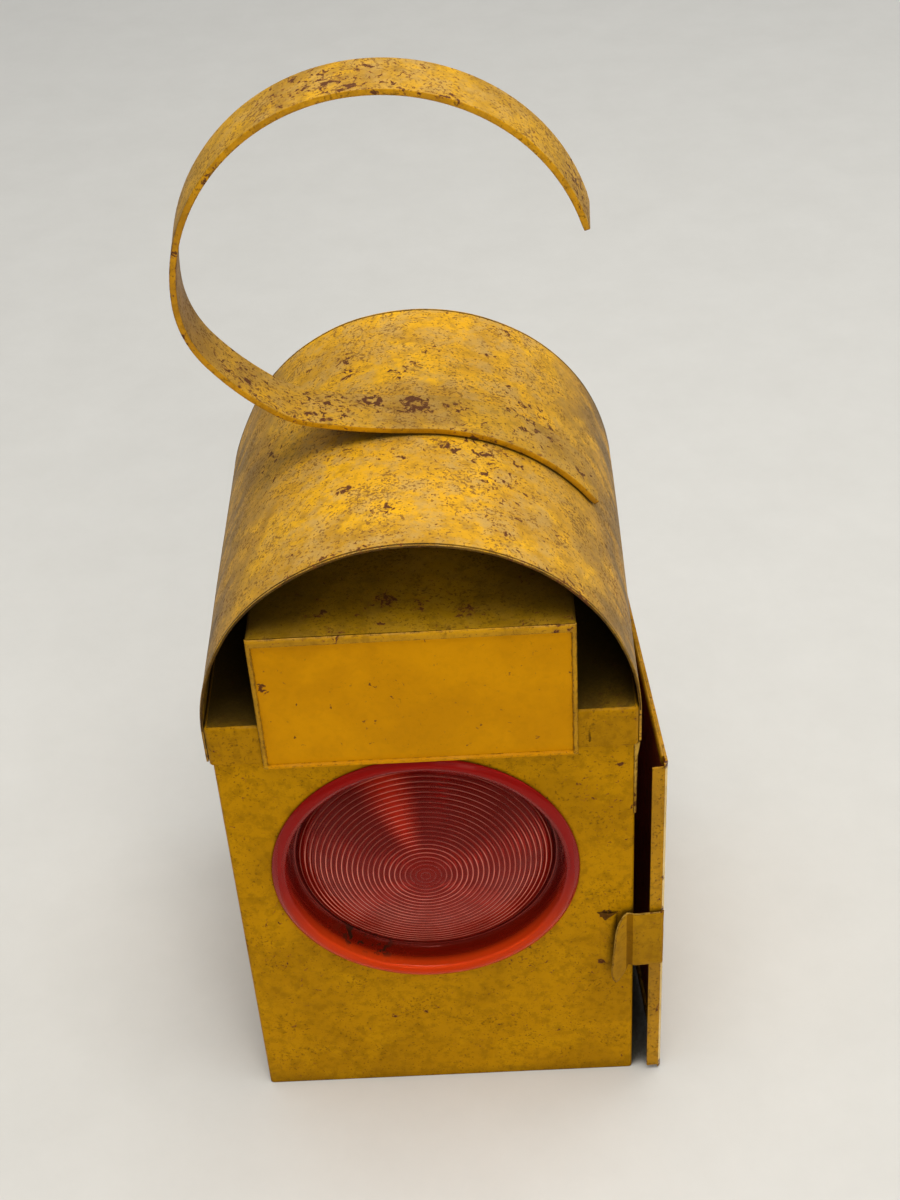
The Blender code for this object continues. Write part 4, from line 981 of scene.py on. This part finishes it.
def burner():
    """Brass collar with a milled edge, perforated gallery cone, and the filler cap."""
    low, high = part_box("burner_collar")
    edge, floor = high.x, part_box("fount_tank")[1].z + 0.3 * MM
    outline = [(edge - 0.4 * MM, high.z), (edge, high.z - 0.4 * MM), (edge, low.z + 0.5 * MM),
               (edge - 0.5 * MM, low.z), (17.4 * MM, low.z)]
    outline += profile(floor, (17.4, 0.0), (9.0, 0.0), (9.0, 1.2), (17.0, 1.2))
    outline += profile(high.z, (17.0, 0.0))
    collar = turned("collar", outline, (0, 0, 0), (0, 0, 1), steps=192, ring=True)
    knurl(collar, edge - 0.2 * MM, 48, 0.5 * MM)
    put(collar, "casing", (BRASS,), "burner_brass", "burner_collar", sharp=50.0)
    base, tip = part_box("burner_cone")[0].z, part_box("burner_cone")[1].z
    outline = profile(tip, (7.5, 0.0), (11.4, -4.0), (14.2, -8.0), (16.0, -11.4), (16.6, -14.0))
    outline += profile(base, (16.6, 0.0), (15.8, 0.0))
    outline += profile(tip, (15.8, -13.8), (13.5, -8.6), (10.6, -4.4), (7.0, -0.8))
    gallery = turned("gallery_cone", outline, (0, 0, 0), (0, 0, 1), steps=96, ring=True)
    shaft_low, shaft_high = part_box("winder_shaft")
    shaft = (shaft_low + shaft_high) / 2
    boolean(gallery, rod(1.9 * MM, 7 * MM, (17 * MM, shaft.y, shaft.z), (1, 0, 0), 32))
    for i in range(1, 15):                    # 16 places, less the two beside the shaft's gland
        a = 2 * pi * i / 16
        place = (15 * MM * cos(a), 15 * MM * sin(a), tip - 18.5 * MM)
        boolean(gallery, rod(0.9 * MM, 6 * MM, place, (cos(a), sin(a), 0), 16))
    put(gallery, "casing", (BRASS,), "burner_brass", "burner_cone", sharp=50.0)
    low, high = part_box("fount_cap")
    centre = (low + high) / 2
    outline = profile(high.z, (0, -0.5), (6.0, -0.5), (6.8, 0), (9.2, 0), (10.1, -0.4), (10.5, -1.2),
                      (10.5, -7.1), (10.2, -7.5), (4.4, -7.5)) + profile(low.z, (4.4, 0), (0, 0))
    lid = turned("filler_lid", outline, (centre.x, centre.y, 0), (0, 0, 1), steps=120)
    knurl(lid, 10.3 * MM, 30, 0.6 * MM)
    put(lid, "filler_cap", (BRASS,), "burner_brass", "fount_cap", sharp=50.0)


# ---- CAD nodes that stay, with better finishes

def finish_cad_nodes():
    """Finishes by the start of a node's name. The first one that fits is used."""
    starts = ((("lens_ring", "hinge_", "fount_bail", "fount_clip_"), STEEL),
              (("wick_tube", "winder_"), BRASS),
              (("lens_seal", "filler_seal"), RUBBER),
              (("base_pan", "vent_baffle"), INSIDE),
              (("wick",), COTTON))
    for name, obj in frame["nodes"].items():
        found = [finish for start, finish in starts if name.startswith(start)]
        if found:
            obj.data.materials.clear()
            obj.data.materials.append(found[0])


# ---- stage

FLOOR_DARK, FLOOR_PALE = (0.6, 0.585, 0.54), (0.68, 0.665, 0.62)
FLOOR_SHADE = (0.05, 0.045, 0.03)           # under the lamp and in the door's gap
FLOOR_HALF = 6.0
SKY = (0.92, 0.95, 1.0, 1.0)
LIGHTS = (                                    # name, place, size in metres, power in watts, colour
    ("overhead", (0.12, -0.25, 2.3), 1.3, 36.0, (1.0, 0.97, 0.92)),
    ("front_fill", (0.9, -2.5, 1.4), 1.4, 26.0, (1.0, 0.97, 0.93)),
    ("right_rear", (2.0, 1.2, 1.6), 1.4, 7.0, (0.95, 0.97, 1.0)),
)
LIGHTS_AIM = Vector((0, 0, 0.2))
CAMERA_PLACE = (29.8 * MM, -629.0 * MM, 704.7 * MM)
CAMERA_HEADING, CAMERA_TILT, CAMERA_ROLL = radians(1.59), radians(-37.99), radians(3.91)
CAMERA_LENS, CAMERA_SENSOR = 54.91, 36.0      # both in mm


def floor():
    """Plain pale floor, darker in the lamp's contact shadow."""
    n = Nodes("pale_floor")
    tone = n.mix(n.noise(60, 6.0, 0.7), FLOOR_DARK, FLOOR_PALE)
    tone = n.mix(n.step(n.hollows(90 * MM, 16), 0.57, 0.76), tone, FLOOR_SHADE)
    n.set(Base_Color=tone, Roughness=0.85, Normal=n.bump(n.noise(2, 3.0, 0.6), 0.02 * MM, 0.5))
    ends = (-FLOOR_HALF, FLOOR_HALF)
    obj = surface("floor", [[(x, y, 0) for x in ends] for y in ends])
    obj.data.materials.append(n.material)
    obj.location.z = -0.3 * MM


def lights():
    """Three soft lights, and a sky that brightens upward. The fill leaves no highlight."""
    for name, place, size, power, colour in LIGHTS:
        data = bpy.data.lights.new(name, "AREA")
        data.size = size
        data.energy = power
        data.color = colour
        light = link(name, data)
        light.location = place
        light.visible_glossy = name != "front_fill"
        light.rotation_euler = (LIGHTS_AIM - Vector(place)).to_track_quat("-Z", "Y").to_euler()
    world = bpy.data.worlds.new("soft_sky")
    world.use_nodes = True
    nodes, links = world.node_tree.nodes, world.node_tree.links
    place, split, height = [nodes.new("ShaderNode" + kind)
                            for kind in ("TexCoord", "SeparateXYZ", "MapRange")]
    for socket, value in zip(height.inputs, (0.0, 0.05, 0.85, 0.07, 0.62)):
        socket.default_value = value
    links.new(place.outputs["Generated"], split.inputs[0])
    links.new(split.outputs[2], height.inputs["Value"])
    links.new(height.outputs[0], nodes["Background"].inputs["Strength"])
    nodes["Background"].inputs["Color"].default_value = SKY
    bpy.context.scene.world = world
    bpy.context.scene.view_settings.view_transform = "Standard"


def camera():
    data = bpy.data.cameras.new("camera")
    data.sensor_width = CAMERA_SENSOR
    data.lens = CAMERA_LENS
    data.clip_start = 0.01
    obj = link("camera", data)
    look = (Matrix.Rotation(CAMERA_HEADING, 4, "Z") @ Matrix.Rotation(CAMERA_TILT, 4, "X")
            @ Matrix.Rotation(CAMERA_ROLL, 4, "Y") @ Matrix.Rotation(pi / 2, 4, "X"))
    obj.matrix_world = Matrix.Translation(CAMERA_PLACE) @ look
    bpy.context.scene.camera = obj


for build in (body_shell, catch, cap, vent_housing, hood, hook_strap, lens, door, jamb, latch, tank, burner,
              finish_cad_nodes, floor, lights, camera):
    build()
